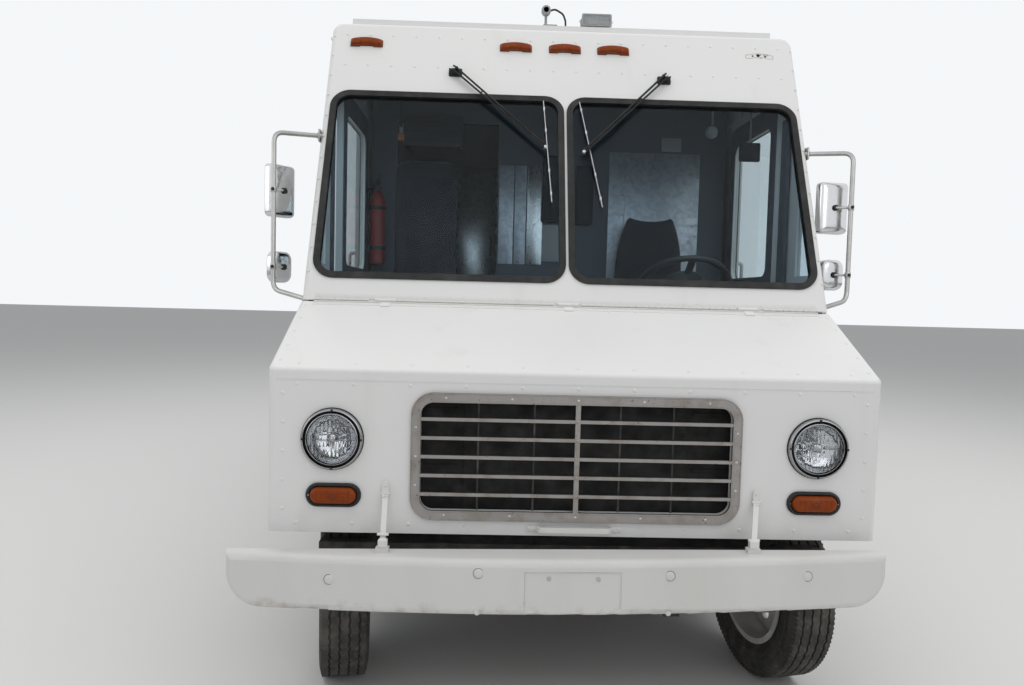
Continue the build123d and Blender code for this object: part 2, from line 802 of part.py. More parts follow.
def make_grille():
    middle = (grille_low + grille_high) / 2
    frame = extrude(Plane.XZ * (grille_outline(0) - grille_outline(grille_rim)), grille_proud)
    reach = grille_half_width - grille_rim + 5
    for index in range(grille_bar_count):
        z = middle + (index - (grille_bar_count - 1) / 2) * grille_bar_pitch
        frame += block((-reach, reach), (-grille_proud, -2), (z - grille_bar / 2, z + grille_bar / 2))
    half_height = (grille_high - grille_low) / 2 - grille_rim + 5
    post_z = (middle - half_height, middle + half_height)
    frame += block((-grille_post / 2, grille_post / 2), (-grille_proud - 2, -2), post_z)
    return frame


def make_headlamps():
    ring = rod((lamp_x, -24, lamp_height), (lamp_x, 0, lamp_height), lamp_ring_radius)
    ring = chamfer(ring.edges().group_by(Axis.Y)[0], 14)
    lens = rod((lamp_x, -34, lamp_height), (lamp_x, -10, lamp_height), lamp_lens_radius)
    lens = fillet(lens.edges().group_by(Axis.Y)[0], 12)
    bucket = rod((lamp_x, 0, lamp_height), (lamp_x, 90, lamp_height), lamp_lens_radius)
    return both_sides(ring + lens + bucket)


def make_turn_signals():
    rim = Plane.XZ * Pos(turn_x, turn_height) * SlotOverall(turn_length, turn_width)
    lens = Plane.XZ * Pos(turn_x, turn_height) * SlotOverall(turn_length - 34, turn_width - 28)
    base = extrude(rim, 12)
    dome = extrude(lens, 30)
    dome = fillet(dome.edges().group_by(Axis.Y)[0], 14)
    return both_sides(base + dome)


def make_nose_fittings():
    fittings = pull_handle()
    for (top_x, top_z), (foot_x, foot_station) in zip(latch_tops, latch_feet):
        fittings += nose_latch(top_x, top_z, foot_x, foot_station)
    return fittings


handle_x = -3.0
handle_rise = 30.0
handle_strap = 20.0
handle_foot = 182.0
handle_reach = 30.0


def pull_handle():
    """Flat strap bent out from two feet, low in the middle of the nose."""
    z = nose_bottom + handle_rise
    bend_x = handle_foot - 36
    corners = [(-bend_x, -3), (-bend_x + 14, -handle_reach), (bend_x - 14, -handle_reach), (bend_x, -3)]
    path = FilletPolyline(*[(handle_x + x, y, z) for x, y in corners], radius=10)
    section = Plane(origin=path @ 0, x_dir=(0, 0, 1), z_dir=path % 0) * Rectangle(handle_strap, 5)
    handle = sweep(section, path=path)
    for side in (-1, 1):
        x = sorted((handle_x + side * handle_foot, handle_x + side * (bend_x - 6)))
        handle += block(x, (-5, 0), (z - handle_strap / 2, z + handle_strap / 2))
    return handle


latch_width = 26.0
latch_block = 62.0
latch_lever = 20.0
latch_lever_thickness = 8.0


def nose_latch(top_x, top_z, foot_x, foot_station):
    """Catch block on the nose, and the lever that hooks down onto the bumper."""
    body = Pos(top_x, 0, top_z - latch_block / 2) * Rot(90, 0, 0) * extrude(
        SlotOverall(latch_block, latch_width, rotation=90), 16
    )
    foot_z = bumper_top_at(foot_x) + latch_foot_height + 1
    knee = (top_x, -12, top_z - latch_block + 14)
    toe = (foot_x, foot_station, foot_z + 24)
    lever = flat_bar(knee, toe, latch_lever, latch_lever_thickness)
    hook = block((foot_x - 17, foot_x + 17), (foot_station - 12, foot_station + 12), (foot_z, foot_z + 34))
    hook = chamfer(hook.edges().group_by(Axis.Z)[-1], 8)
    return body + lever + hook


bumper_bracket_places = (-430.0, 430.0)
latch_feet = ((-716.0, -105.0), (658.0, -105.0))
latch_tops = ((-721.0, 1012.0), (693.0, 1004.0))


def make_bumper():
    front = -bumper_reach
    end = front + bumper_bow

    def bowed(inset):
        side = bumper_half_width - inset
        arc = ThreePointArc((-side, end + inset), (0, front + inset), (side, end + inset))
        lines = Polyline((side, end + inset), (side, -bumper_back + 60 * (inset > 0)))
        back = Polyline((side, -bumper_back + 60 * (inset > 0)), (-side, -bumper_back + 60 * (inset > 0)))
        close = Polyline((-side, -bumper_back + 60 * (inset > 0)), (-side, end + inset))
        return make_face(arc + lines + back + close)

    def bar(inset):
        solid = Pos(0, 0, bumper_low + inset) * extrude(bowed(inset), bumper_high - bumper_low - 2 * inset)
        low_ends = solid.edges().filter_by(Axis.Y).group_by(Axis.Z)[0]
        solid = fillet(low_ends, bumper_end_radius - inset)
        face = solid.faces().sort_by(Axis.Y)[0]
        return fillet(face.edges(), bumper_edge_radius - inset)

    outer = bar(0)
    bumper = outer - bar(bumper_sheet)
    bracket = Part()
    for x in bumper_bracket_places:
        x -= bumper_centre_x
        bracket += block((x - 50, x + 50), (front + 30, -bumper_back), (bumper_low, bumper_high))
    bumper += bracket & outer
    recess_back = front + plate_depth
    bumper -= block((plate_left, plate_right), (front - 50, recess_back), (bumper_low - 50, plate_top))
    for x, station in latch_feet:
        x -= bumper_centre_x
        foot_top = bumper_high + latch_foot_height
        bumper += block((x - 24, x + 24), (station - 16, station + 16), (bumper_high - 4, foot_top))
    middle = (bumper_low + bumper_high) / 2
    tilted = Pos(bumper_centre_x, 0, middle) * Rot(0, -bumper_tilt, 0) * Pos(0, 0, -middle) * bumper
    for side in (-1, 1):
        x = plate_hole_x + side * plate_hole_spacing / 2
        tilted -= rod((x, -300, plate_hole_height), (x, -100, plate_hole_height), plate_hole_radius)
    return tilted


def bumper_top_at(x):
    return bumper_high + (x - bumper_centre_x) * tan(radians(bumper_tilt))


def make_rear_step():
    tread_half = half - 70
    tread = block((-tread_half, tread_half), (body_rear, body_rear + rear_step_depth), (560, 600))
    tread = fillet(tread.edges().filter_by(Axis.Z).group_by(Axis.Y)[-1], 60)
    for side in (-1, 1):
        x = sorted((side * 380, side * rail_outer_x))
        tread += block(x, (rail_rear, body_rear + 100), (528, 560))
    return tread


lamp_places = (-half + 179.0, -245.0, 2.0, 246.0)
lamp_slope = slope_length - 123.0


lamp_half = 79.0
lamp_low = -24.0
lamp_shoulder = 13.0
lamp_crown = 25.0
lamp_notch = 30.0
lamp_notch_depth = 5.0


def lamp_outline(inset):
    """Crowned top, square ends and a shallow notch in the middle of the bottom edge."""
    side = lamp_half - inset
    low = lamp_low + inset
    top = lamp_shoulder - inset
    arc = ThreePointArc((side, top), (0, lamp_crown - inset), (-side, top))
    notch = [(-lamp_notch - 4, low), (-lamp_notch, low + lamp_notch_depth)]
    edge = [(-side, top), (-side, low)] + notch + [(-x, y) for x, y in reversed(notch)]
    return make_face(Polyline(*edge, (side, low), (side, top)) + arc)


def make_marker_lamps():
    lamp = extrude(lamp_outline(0), 9)
    lens = extrude(lamp_outline(5), 24)
    lamp += chamfer(lens.edges().group_by(Axis.Z)[-1], 4)
    lamps = Part()
    for x in lamp_places:
        lamps += slope_plane() * Pos(x, lamp_slope) * lamp
    return lamps


def make_tail_lamps():
    lamps = Part()
    x = half - 170
    for height in (1050, 1200):
        lamps += rod((x, body_rear, height), (x, body_rear + 24, height), 55)
    return both_sides(lamps)


sensor_x = -88.0
sensor_rise = 88.0
sensor_radius = 24.0
conduit_radius = 5.0
conduit_foot_x = 16.0


def make_roof_lights():
    """Floodlight, and the round sensor head with its conduit looping back down, on the roof bar."""
    top = roof_bar_top
    middle = (roof_bar_front + roof_bar_rear) / 2
    lamp = block((97, 255), (middle - 34, middle + 34), (top + 8, top + 74))
    lights = chamfer(lamp.edges().filter_by(Axis.X), 12)
    lights += block((160, 192), (middle - 20, middle + 20), (top, top + 8))
    lights += block((sensor_x - 6, sensor_x + 60), (middle - 30, middle + 30), (top, top + 14))
    lights += rod((sensor_x, middle, top + 12), (sensor_x, middle, top + sensor_rise - 10), 8)
    head = (sensor_x, middle - 26, top + sensor_rise)
    lights += rod(head, (sensor_x, middle + 26, top + sensor_rise), sensor_radius)
    loop = [
        (sensor_x + 16, top + sensor_rise),
        (sensor_x + 46, top + sensor_rise + 12),
        (conduit_foot_x - 14, top + sensor_rise - 12),
        (conduit_foot_x, top + 40),
        (conduit_foot_x, top + 4),
    ]
    lights += bent_tube([(x, middle, z) for x, z in loop], conduit_radius, 14)
    lights += rod((conduit_foot_x, middle, top), (conduit_foot_x, middle, top + 9), conduit_radius + 4)
    return lights


wiper_bar = 4.5
wiper_bar_gap = 17.0
wiper_lift = 15.0
blade_radius = 5.0
wiper_table = (
    # (x, height above the pane's top edge) of the pivot, arm's tip, blade's top and blade's foot
    ((-542.0, 125.0), (-99.0, -305.0), (-108.0, -2.0), (-70.0, -596.0)),
    ((494.0, 119.0), (84.0, -326.0), (68.0, -16.0), (165.0, -617.0)),
)


def make_wipers():
    """Two arms, each of twin bars from a pivot above the glass, with a slim blade."""
    wipers = Part()
    plane = slope_plane(-gasket_proud - 4)
    for row in wiper_table:
        pivot, tip, blade_top, blade_foot = [(x, pane_high + rise) for x, rise in row]
        base = slope_plane() * Pos(*pivot) * Rectangle(64, 44)
        wipers += extrude(base, gasket_proud + 4 + wiper_lift)
        along = (Vector(*tip) - Vector(*pivot)).normalized()
        aside = Vector(-along.Y, along.X) * (wiper_bar_gap / 2)
        for side in (-1, 1):
            start = Vector(*pivot) + aside * side
            end = Vector(*tip) + aside * side * 0.45
            start_3d = plane.from_local_coords((start.X, start.Y, wiper_lift + 4))
            end_3d = plane.from_local_coords((end.X, end.Y, wiper_lift))
            wipers += rod(tuple(start_3d), tuple(end_3d), wiper_bar)
        top = plane.from_local_coords((*blade_top, blade_radius + 1))
        foot = plane.from_local_coords((*blade_foot, blade_radius + 1))
        wipers += rod(tuple(top), tuple(foot), blade_radius)
        joint = plane.from_local_coords((*tip, 0))
        joint_end = plane.from_local_coords((*tip, wiper_lift + 6))
        wipers += rod(tuple(joint), tuple(joint_end), 9)
    return wipers


def make_mirrors():
    """Tube loop, large flat head and small round-cornered head on each side of the cab."""
    station = 700.0
    tube = 11.0
    mirrors = Part()
    table = (
        # side, tube from the wall, tube top, tube bottom, head's tube gap, middle and yaw,
        # low head's tube gap and middle
        (-1, 175, 2440, 1725, 3, 2182, -58, 3, 1830),
        (1, 160, 2425, 1740, -70, 2175, 12, -62, 1860),
    )
    for side, reach, high, low, head_gap, head_z, yaw, low_gap, low_z in table:
        out = half + reach
        head_x = out + head_gap
        low_x = out + low_gap
        path = [(half - 2, 860, high + 20), (out, station, high)]
        path += [(out, station, low), (half - 2, 600, low - 40)]
        loop = bent_tube(path, tube, 45) - block((half - 60, half), (400, 1100), (1500, 2700))
        head = RectangleRounded(mirror_width, mirror_height, 22)
        low_head = RectangleRounded(low_mirror_width, low_mirror_height, 40)
        behind = station + tube + 3
        head = extrude(Plane.XZ * head, mirror_depth)
        head = Pos(head_x, behind + 60, head_z) * Rot(0, 0, yaw) * head
        low_head = extrude(Plane.XZ * low_head, mirror_depth)
        low_head = Pos(low_x, behind + 60, low_z) * Rot(0, 0, yaw) * low_head
        arms = Part()
        for z, inner in ((head_z, head_x), (low_z, low_x)):
            arm_x = (min(inner, out) - 14, out + 14)
            arms += block(arm_x, (station - tube - 4, station + tube + 40), (z - 14, z + 14))
        plates = block((half, half + 6), (835, 885), (high - 10, high + 50))
        plates += block((half, half + 6), (575, 625), (low - 70, low - 10))
        one = loop + head + low_head + arms + plates
        mirrors += one if side > 0 else mirror(one, Plane.YZ)
    return mirrors


driver_x = half - 570.0
dash_rear = 760.0


def make_dashboard():
    low = dash_top - 190
    front = hinge_station + 28
    board = block((-inner_half + 2, inner_half - 2), (front, dash_rear), (low, dash_top))
    board = fillet(board.edges().filter_by(Axis.X).group_by(Axis.Y)[-1], 30)
    binnacle_y = (dash_rear - 60, dash_rear + 70)
    binnacle = block((driver_x - 200, driver_x + 300), binnacle_y, (low + 30, dash_top - 40))
    board += fillet(binnacle.edges().filter_by(Axis.X).group_by(Axis.Y)[-1], 20)
    clear = engine_cover_half + 6
    return board - block((-clear, clear), (0, engine_cover_rear + 6), (0, engine_cover_top + 6))


def make_steering_wheel():
    centre = (driver_x + 20, dash_rear + 200, dash_top + 160)
    tilt = Rot(-35, 0, 0)
    ring = Torus(215, 15)
    hub = Cylinder(45, 40)
    spokes = Box(420, 30, 12)
    column = Pos(0, 0, -170) * Cylinder(28, 320)
    return Pos(*centre) * tilt * (ring + hub + spokes + column) - make_dashboard()


def make_seat():
    x = (driver_x - 210, driver_x + 210)
    base = block((driver_x - 100, driver_x + 100), (1380, 1720), (deck_top, 1230))
    cushion = fillet(block(x, (1300, 1780), (1230, 1350)).edges(), 30)
    back = fillet(block(x, (1710, 1830), (1350, 2230)).edges(), 30)
    return base + cushion + back


def make_kitchen():
    units = Part()
    units_back = inner_half - 60
    table = (
        # x low, x high, front, rear, bottom, top, open face
        (-units_back, 620 - inner_half, 2700, 4400, deck_top, counter_top, "right"),
        (inner_half - 660, units_back, 2900, 5200, deck_top, counter_top + 140, "left"),
        (inner_half - 710, units_back, 2900, 5200, hatch_head - 100, roof_height - 281, "below"),
    )
    sheet = 25.0
    for x0, x1, y0, y1, z0, z1, opens in table:
        hollow_x = (x0 - 1 if opens == "left" else x0 + sheet, x1 + 1 if opens == "right" else x1 - sheet)
        hollow_z = (z0 - 1 if opens == "below" else z0 + sheet, z1 - sheet)
        units += block((x0, x1), (y0, y1), (z0, z1)) - block(hollow_x, (y0 + sheet, y1 - sheet), hollow_z)
    units += block((units_back, inner_half), (3000, 5100), (hatch_head - 50, hatch_head - 10))
    return units


def make_cab_door(side):
    outer = side_x[0] - door_clearance
    x = (outer - door_thickness, outer)
    y = (door_front - door_overlap, door_rear + door_overlap)
    z = (door_sill, door_head + door_overlap)
    door = block(x, y, z)
    window = door_window(x[0] - 1, x[1] + 1, 0)
    door -= window
    rail_top_z = z[1] + 50
    for station in (y[0] + 100, y[1] - 100):
        door += block((x[0], x[0] + 12), (station - 40, station + 40), (z[1], rail_top_z + 20))
        door += block((x[0], x[1]), (station - 40, station + 40), (rail_top_z + seat_gap, rail_top_z + 20))
    if side < 0:
        door = mirror(door, Plane.YZ)
    return door


def door_window(x_low, x_high, inset):
    middle = ((door_front + door_rear) / 2, (window_low + window_high) / 2)
    width = door_rear - door_front - 2 * window_margin - 2 * inset
    height = window_high - window_low - 2 * inset
    outline = Plane.YZ.offset(x_low) * Pos(*middle) * RectangleRounded(width, height, window_corner)
    return extrude(outline, x_high - x_low)


def make_door_glass(side):
    outer = side_x[0] - door_clearance
    glass = door_window(outer - 20, outer - 14, 0)
    if side < 0:
        glass = mirror(glass, Plane.YZ)
    return glass


def add_hood_cheeks(front):
    for x in hood_hinges:
        front += hood_hinge(x)[0]
    return front


pieces = {
    "chassis_frame": make_chassis(),
    "engine_block": make_engine(),
    "radiator": make_radiator(),
    "front_axle": make_front_axle(),
    "leaf_springs": make_springs(),
    "rear_axle": make_rear_axle(),
    "fuel_tank": make_fuel_tank(),
    "exhaust": make_exhaust(),
    "knuckle_left": make_knuckle(1),
    "knuckle_right": make_knuckle(-1),
    "tie_rod": make_tie_rod(),
    "tyre_front_left": make_front_tyre(1),
    "tyre_front_right": make_front_tyre(-1),
    "rim_front_left": make_front_rim(1),
    "rim_front_right": make_front_rim(-1),
    "tyres_rear_left": make_rear_tyres(1),
    "tyres_rear_right": make_rear_tyres(-1),
    "rims_rear_left": make_rear_rims(1),
    "rims_rear_right": make_rear_rims(-1),
    "floor": make_floor(),
    "firewall": make_firewall(),
    "bulkhead": make_bulkhead(),
    "side_wall_left": make_side_wall(1),
    "side_wall_right": make_side_wall(-1),
    "rear_wall": make_rear_wall(),
    "roof": make_roof(),
    "cab_front": add_hood_cheeks(make_cab_front()),
    "cab_glass": make_cab_glass(),
    "windscreen_gaskets": make_gaskets(),
    "hood": make_hood(),
    "grille": make_grille(),
    "headlamps": make_headlamps(),
    "turn_signals": make_turn_signals(),
    "nose_fittings": make_nose_fittings(),
    "front_bumper": make_bumper(),
    "rear_step": make_rear_step(),
    "cab_door_left": make_cab_door(1),
    "cab_door_right": make_cab_door(-1),
    "door_glass_left": make_door_glass(1),
    "door_glass_right": make_door_glass(-1),
    "rear_door_left": make_rear_door(1),
    "rear_door_right": make_rear_door(-1),
    "serving_hatch": make_hatch(),
    "marker_lamps": make_marker_lamps(),
    "tail_lamps": make_tail_lamps(),
    "roof_lights": make_roof_lights(),
    "wipers": make_wipers(),
    "mirrors": make_mirrors(),
    "dashboard": make_dashboard(),
    "steering_wheel": make_steering_wheel(),
    "driver_seat": make_seat(),
    "kitchen_units": make_kitchen(),
}

os.makedirs("parts", exist_ok=True)
for name, piece in pieces.items():
    export_step(Pos(0, nose_y, 0) * piece, f"parts/{name}.step")
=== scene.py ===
import math

import bmesh
import bpy
from mathutils import Matrix, Vector


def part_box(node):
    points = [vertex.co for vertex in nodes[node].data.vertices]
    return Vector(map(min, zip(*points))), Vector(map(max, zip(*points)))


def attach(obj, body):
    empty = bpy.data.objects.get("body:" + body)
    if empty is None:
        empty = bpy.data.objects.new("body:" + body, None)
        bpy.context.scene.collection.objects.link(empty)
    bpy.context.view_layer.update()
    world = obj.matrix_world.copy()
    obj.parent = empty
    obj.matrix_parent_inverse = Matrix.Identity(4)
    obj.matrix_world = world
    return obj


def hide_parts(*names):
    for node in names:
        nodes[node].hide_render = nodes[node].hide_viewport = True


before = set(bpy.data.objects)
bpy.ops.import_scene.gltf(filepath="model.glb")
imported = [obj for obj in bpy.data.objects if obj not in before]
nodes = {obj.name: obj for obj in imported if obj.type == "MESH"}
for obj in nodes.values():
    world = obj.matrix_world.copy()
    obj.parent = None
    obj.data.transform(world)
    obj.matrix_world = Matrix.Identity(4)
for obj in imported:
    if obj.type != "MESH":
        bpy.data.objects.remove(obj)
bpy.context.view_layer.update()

# Drawing sizes are in millimetres, with stations running back from the nose panel
mm = 0.001
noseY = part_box("hood")[0].y + 0.002  # the hood's lap plate stands 2 mm proud
body = {
    "half": 1170, "roof": 3081, "rear": 6450, "creaseZ": 1432, "hingeStation": 512, "hingeZ": 1684,
    "roofStation": 1124, "frontAxle": 610, "rearAxle": 4600,
}
sunk = -0.3  # fittings start this far inside the sheet that they sit on


def place(x, station, z):
    return Vector((x * mm, noseY + station * mm, z * mm))


def placed(*spots):
    return [place(*spot) for spot in spots]


class Face:
    # A flat side of the truck: across and up lie in it, out stands away from it
    def __init__(self, origin, across, up, out):
        self.origin, self.across, self.up, self.out = origin, across, up, out

    def at(self, u, v, w=0.0):
        return self.origin + (self.across * u + self.up * v + self.out * w) * mm


xAxis, yAxis, zAxis = Vector((1, 0, 0)), Vector((0, 1, 0)), Vector((0, 0, 1))
cabUp = Vector((0, body["roofStation"] - body["hingeStation"], body["roof"] - body["hingeZ"])).normalized()
hoodUp = Vector((0, body["hingeStation"], body["hingeZ"] - body["creaseZ"])).normalized()
noseFace = Face(place(0, 0, 0), xAxis, zAxis, -yAxis)
cabFace = Face(place(0, body["hingeStation"], body["hingeZ"]), xAxis, cabUp, Vector((0, -cabUp.z, cabUp.y)))
hoodFace = Face(place(0, 0, body["creaseZ"]), xAxis, hoodUp, Vector((0, -hoodUp.z, hoodUp.y)))
driverFace = Face(place(body["half"], 0, 0), yAxis, zAxis, xAxis)
kerbFace = Face(place(-body["half"], 0, 0), yAxis, zAxis, -xAxis)
rearFace = Face(place(0, body["rear"], 0), xAxis, zAxis, yAxis)
sideFaces = {1: driverFace, -1: kerbFace}

# Camera, at the place and angle that the photograph was taken from
cameraSettings = {
    "place": (-340.3, -2933.1, 1721.3), "yaw": 0.0283, "pitch": 0.0592, "roll": 0.0255,
    "focalPixels": 780.7, "imageWidth": 1024, "sensor": 36.0,
}


def makeCamera(settings):
    yaw, pitch, roll = settings["yaw"], settings["pitch"], settings["roll"]
    ahead = Vector((math.sin(yaw) * math.cos(pitch), math.cos(yaw) * math.cos(pitch), -math.sin(pitch)))
    right = Vector((math.cos(yaw), -math.sin(yaw), 0))
    up = right.cross(ahead)
    rolledRight = right * math.cos(roll) + up * math.sin(roll)
    rolledUp = up * math.cos(roll) - right * math.sin(roll)
    data = bpy.data.cameras.new("camera")
    data.sensor_width = settings["sensor"]
    data.lens = settings["focalPixels"] / settings["imageWidth"] * settings["sensor"]
    data.clip_start, data.clip_end = 0.05, 200
    camera = bpy.data.objects.new("camera", data)
    turn = Matrix((rolledRight, rolledUp, -ahead)).transposed().to_4x4()
    camera.matrix_world = Matrix.Translation(place(*settings["place"])) @ turn
    bpy.context.scene.collection.objects.link(camera)
    bpy.context.scene.camera = camera


makeCamera(cameraSettings)
print("camera set")

# Studio
studio = {
    "floorColour": (0.80, 0.80, 0.79, 1), "floorReach": 60, "sky": (0.96, 0.98, 1, 1), "backdrop": 0.95,
    "ambient": 0.36, "topPower": 780.0, "frontPower": 95.0, "sidePower": 80.0,
}


def makeLight(name, spot, target, size, power, colour, mirrored=True):
    data = bpy.data.lights.new(name, "AREA")
    data.shape = "RECTANGLE"
    data.size, data.size_y = size
    data.energy = power
    data.color = colour
    lamp = bpy.data.objects.new(name, data)
    lamp.location = spot
    lamp.rotation_mode = "QUATERNION"
    lamp.rotation_quaternion = (Vector(target) - Vector(spot)).to_track_quat("-Z", "Y")
    lamp.visible_glossy = mirrored
    bpy.context.scene.collection.objects.link(lamp)


def makeFloor(settings):
    mesh = bpy.data.meshes.new("studioFloor")
    reach = settings["floorReach"]
    corners = [(-reach, -reach, 0), (reach, -reach, 0), (reach, reach, 0), (-reach, reach, 0)]
    mesh.from_pydata(corners, [], [(0, 1, 2, 3)])
    floor = bpy.data.objects.new("studioFloor", mesh)
    bpy.context.scene.collection.objects.link(floor)
    material = bpy.data.materials.new("studioFloor")
    material.use_nodes = True
    shader = material.node_tree.nodes["Principled BSDF"]
    shader.inputs["Base Color"].default_value = settings["floorColour"]
    shader.inputs["Roughness"].default_value = 0.9
    mesh.materials.append(material)


def makeWorld(settings):
    world = bpy.data.worlds.new("studioWorld")
    bpy.context.scene.world = world
    world.use_nodes = True
    tree = world.node_tree
    background = tree.nodes["Background"]
    background.inputs["Color"].default_value = settings["sky"]
    rays = tree.nodes.new("ShaderNodeLightPath")

    def either(operation, one, other):
        node = tree.nodes.new("ShaderNodeMath")
        node.operation = operation
        tree.links.new(one, node.inputs[0])
        if isinstance(other, float):
            node.inputs[1].default_value = other
        else:
            tree.links.new(other, node.inputs[1])
        return node.outputs[0]

    shiny = either("MAXIMUM", rays.outputs["Is Glossy Ray"], rays.outputs["Is Transmission Ray"])
    direct = either("MULTIPLY", shiny, either("LESS_THAN", rays.outputs["Diffuse Depth"], 0.5))
    seen = either("MAXIMUM", direct, rays.outputs["Is Camera Ray"])
    strength = tree.nodes.new("ShaderNodeMapRange")
    strength.inputs["To Min"].default_value = settings["ambient"]
    strength.inputs["To Max"].default_value = settings["backdrop"]
    tree.links.new(seen, strength.inputs["Value"])
    tree.links.new(strength.outputs[0], background.inputs["Strength"])


makeFloor(studio)
makeWorld(studio)
makeLight("softTop", (0.5, -1.5, 9), (0, 0, 1), (14, 16), studio["topPower"], (1, 0.99, 0.97), False)
makeLight("softFront", (3.5, -11, 5), (0, -2.5, 1.5), (7, 5), studio["frontPower"], (1, 1, 1))
makeLight("softSide", (-10, -5, 4.5), (0, 0, 1.2), (6, 5), studio["sidePower"], (0.96, 0.98, 1))
bpy.context.scene.view_settings.view_transform = "Standard"
print("studio set")


# Finishes
class Surface:
    # One material's node tree, with its texture space in metres on the model
    def __init__(self, name, colour, rough, metal=0.0):
        self.material = bpy.data.materials.new(name)
        self.material.use_nodes = True
        self.tree = self.material.node_tree
        self.shader = self.tree.nodes["Principled BSDF"]
        self.shader.inputs["Base Color"].default_value = (*colour, 1)
        self.shader.inputs["Roughness"].default_value = rough
        self.shader.inputs["Metallic"].default_value = metal
        self.colour = None
        self.places = self.tree.nodes.new("ShaderNodeTexCoord").outputs["Object"]
        self.baseColour = (*colour, 1)
        self.heights = None

    def set(self, socket, value):
        self.shader.inputs[socket].default_value = value
        return self

    def noise(self, scale, detail=3.0, stretch=(1, 1, 1), warp=0.0):
        mapping = self.tree.nodes.new("ShaderNodeMapping")
        mapping.inputs["Scale"].default_value = stretch
        self.tree.links.new(self.places, mapping.inputs["Vector"])
        texture = self.tree.nodes.new("ShaderNodeTexNoise")
        texture.inputs["Scale"].default_value = scale
        texture.inputs["Detail"].default_value = detail
        texture.inputs["Distortion"].default_value = warp
        self.tree.links.new(mapping.outputs[0], texture.inputs["Vector"])
        return texture.outputs["Fac"]

    def ramp(self, value, low, high, start=0.0, end=1.0):
        node = self.tree.nodes.new("ShaderNodeMapRange")
        node.inputs["From Min"].default_value = low
        node.inputs["From Max"].default_value = high
        node.inputs["To Min"].default_value = start
        node.inputs["To Max"].default_value = end
        self.tree.links.new(value, node.inputs["Value"])
        return node.outputs[0]

    def times(self, one, other):
        node = self.tree.nodes.new("ShaderNodeMath")
        node.operation = "MULTIPLY"
        self.tree.links.new(one, node.inputs[0])
        self.tree.links.new(other, node.inputs[1])
        return node.outputs[0]

    def height(self, low, high):
        split = self.tree.nodes.new("ShaderNodeSeparateXYZ")
        self.tree.links.new(self.places, split.inputs[0])
        return self.ramp(split.outputs["Z"], low, high)

    def stain(self, amount, colour):
        mix = self.tree.nodes.new("ShaderNodeMix")
        mix.data_type = "RGBA"
        mix.inputs["A"].default_value = self.baseColour
        if self.colour is not None:
            self.tree.links.new(self.colour, mix.inputs["A"])
        mix.inputs["B"].default_value = (*colour, 1)
        self.tree.links.new(amount, mix.inputs["Factor"])
        self.colour = mix.outputs["Result"]
        self.tree.links.new(self.colour, self.shader.inputs["Base Color"])
        return self

    def blotches(self, grain, limits, colour):
        # Stains where a noise passes between two limits, by no more than the third
        low, high, most = limits
        return self.stain(self.ramp(self.noise(*grain), low, high, 0.0, most), colour)

    def gloss(self, value, low, high):
        self.tree.links.new(self.ramp(value, 0.3, 0.7, low, high), self.shader.inputs["Roughness"])
        return self

    def bump(self, value, strength, distance):
        node = self.tree.nodes.new("ShaderNodeBump")
        node.inputs["Strength"].default_value = strength
        node.inputs["Distance"].default_value = distance
        self.tree.links.new(value, node.inputs["Height"])
        if self.heights is not None:
            self.tree.links.new(self.heights, node.inputs["Normal"])
        self.heights = node.outputs[0]
        self.tree.links.new(self.heights, self.shader.inputs["Normal"])
        return self


def bodyWhite(name, colour, grime):
    white = Surface(name, colour, 0.36)
    white.blotches((1.1, 3, (1, 1, 0.5)), (0.4, 0.75, 0.3), (0.70, 0.705, 0.71))
    white.blotches((7, 5, (1, 1, 0.10)), (0.60, 0.85, grime), (0.56, 0.54, 0.50))
    low = white.times(white.height(0.95, 0.42), white.ramp(white.noise(14, 6), 0.45, 0.85, 0.0, 0.8))
    white.stain(low, (0.45, 0.41, 0.35))
    white.blotches((48, 3), (0.80, 0.84, 0.5), (0.52, 0.47, 0.40))
    white.gloss(white.noise(2.2, 4), 0.30, 0.44)
    white.bump(white.noise(900, 2), 0.05, 0.0004).bump(white.noise(1.9, 1), 0.10, 0.005)
    return white.set("Coat Weight", 0.2).set("Coat Roughness", 0.14).material


def bumperWhite():
    white = Surface("bumperWhite", (0.69, 0.685, 0.675), 0.42)
    white.blotches((4, 5, (1, 1, 0.4)), (0.5, 0.8, 0.4), (0.58, 0.565, 0.53))
    white.blotches((30, 5), (0.75, 0.78, 0.8), (0.30, 0.17, 0.10))
    low = white.times(white.height(0.62, 0.57), white.ramp(white.noise(24, 6), 0.5, 0.75, 0.0, 0.8))
    white.stain(low, (0.38, 0.30, 0.22))
    white.gloss(white.noise(6, 4), 0.36, 0.55)
    return white.bump(white.noise(240, 3), 0.08, 0.0006).bump(white.noise(3.5, 2), 0.2, 0.006).material


def brushedSteel(name, colour, rough, scratch=(60, 2, 2)):
    steel = Surface(name, colour, rough, 1.0)
    steel.blotches((7, 5), (0.45, 0.75, 0.45), tuple(0.62 * part for part in colour))
    steel.gloss(steel.noise(12, 5, scratch), rough * 0.75, rough * 1.5)
    return steel.bump(steel.noise(70, 3, scratch), 0.10, 0.0004).material


def galvanisedSheet():
    sheet = Surface("galvanisedSheet", (0.52, 0.55, 0.60), 0.42, 0.6)
    sheet.blotches((22, 1, (1, 1, 1), 1.2), (0.42, 0.6, 0.6), (0.36, 0.385, 0.43))
    sheet.blotches((4, 4, (1, 1, 0.3)), (0.5, 0.8, 0.6), (0.26, 0.28, 0.31))
    return sheet.gloss(sheet.noise(30, 2), 0.32, 0.55).material


def grilleSteel():
    steel = Surface("grilleSteel", (0.33, 0.315, 0.305), 0.38, 1.0)
    steel.blotches((14, 6), (0.48, 0.72, 0.8), (0.24, 0.205, 0.17))
    steel.blotches((90, 4), (0.66, 0.72, 0.8), (0.14, 0.075, 0.04))
    steel.gloss(steel.noise(20, 5), 0.3, 0.6)
    return steel.bump(steel.noise(130, 4), 0.2, 0.0006).material


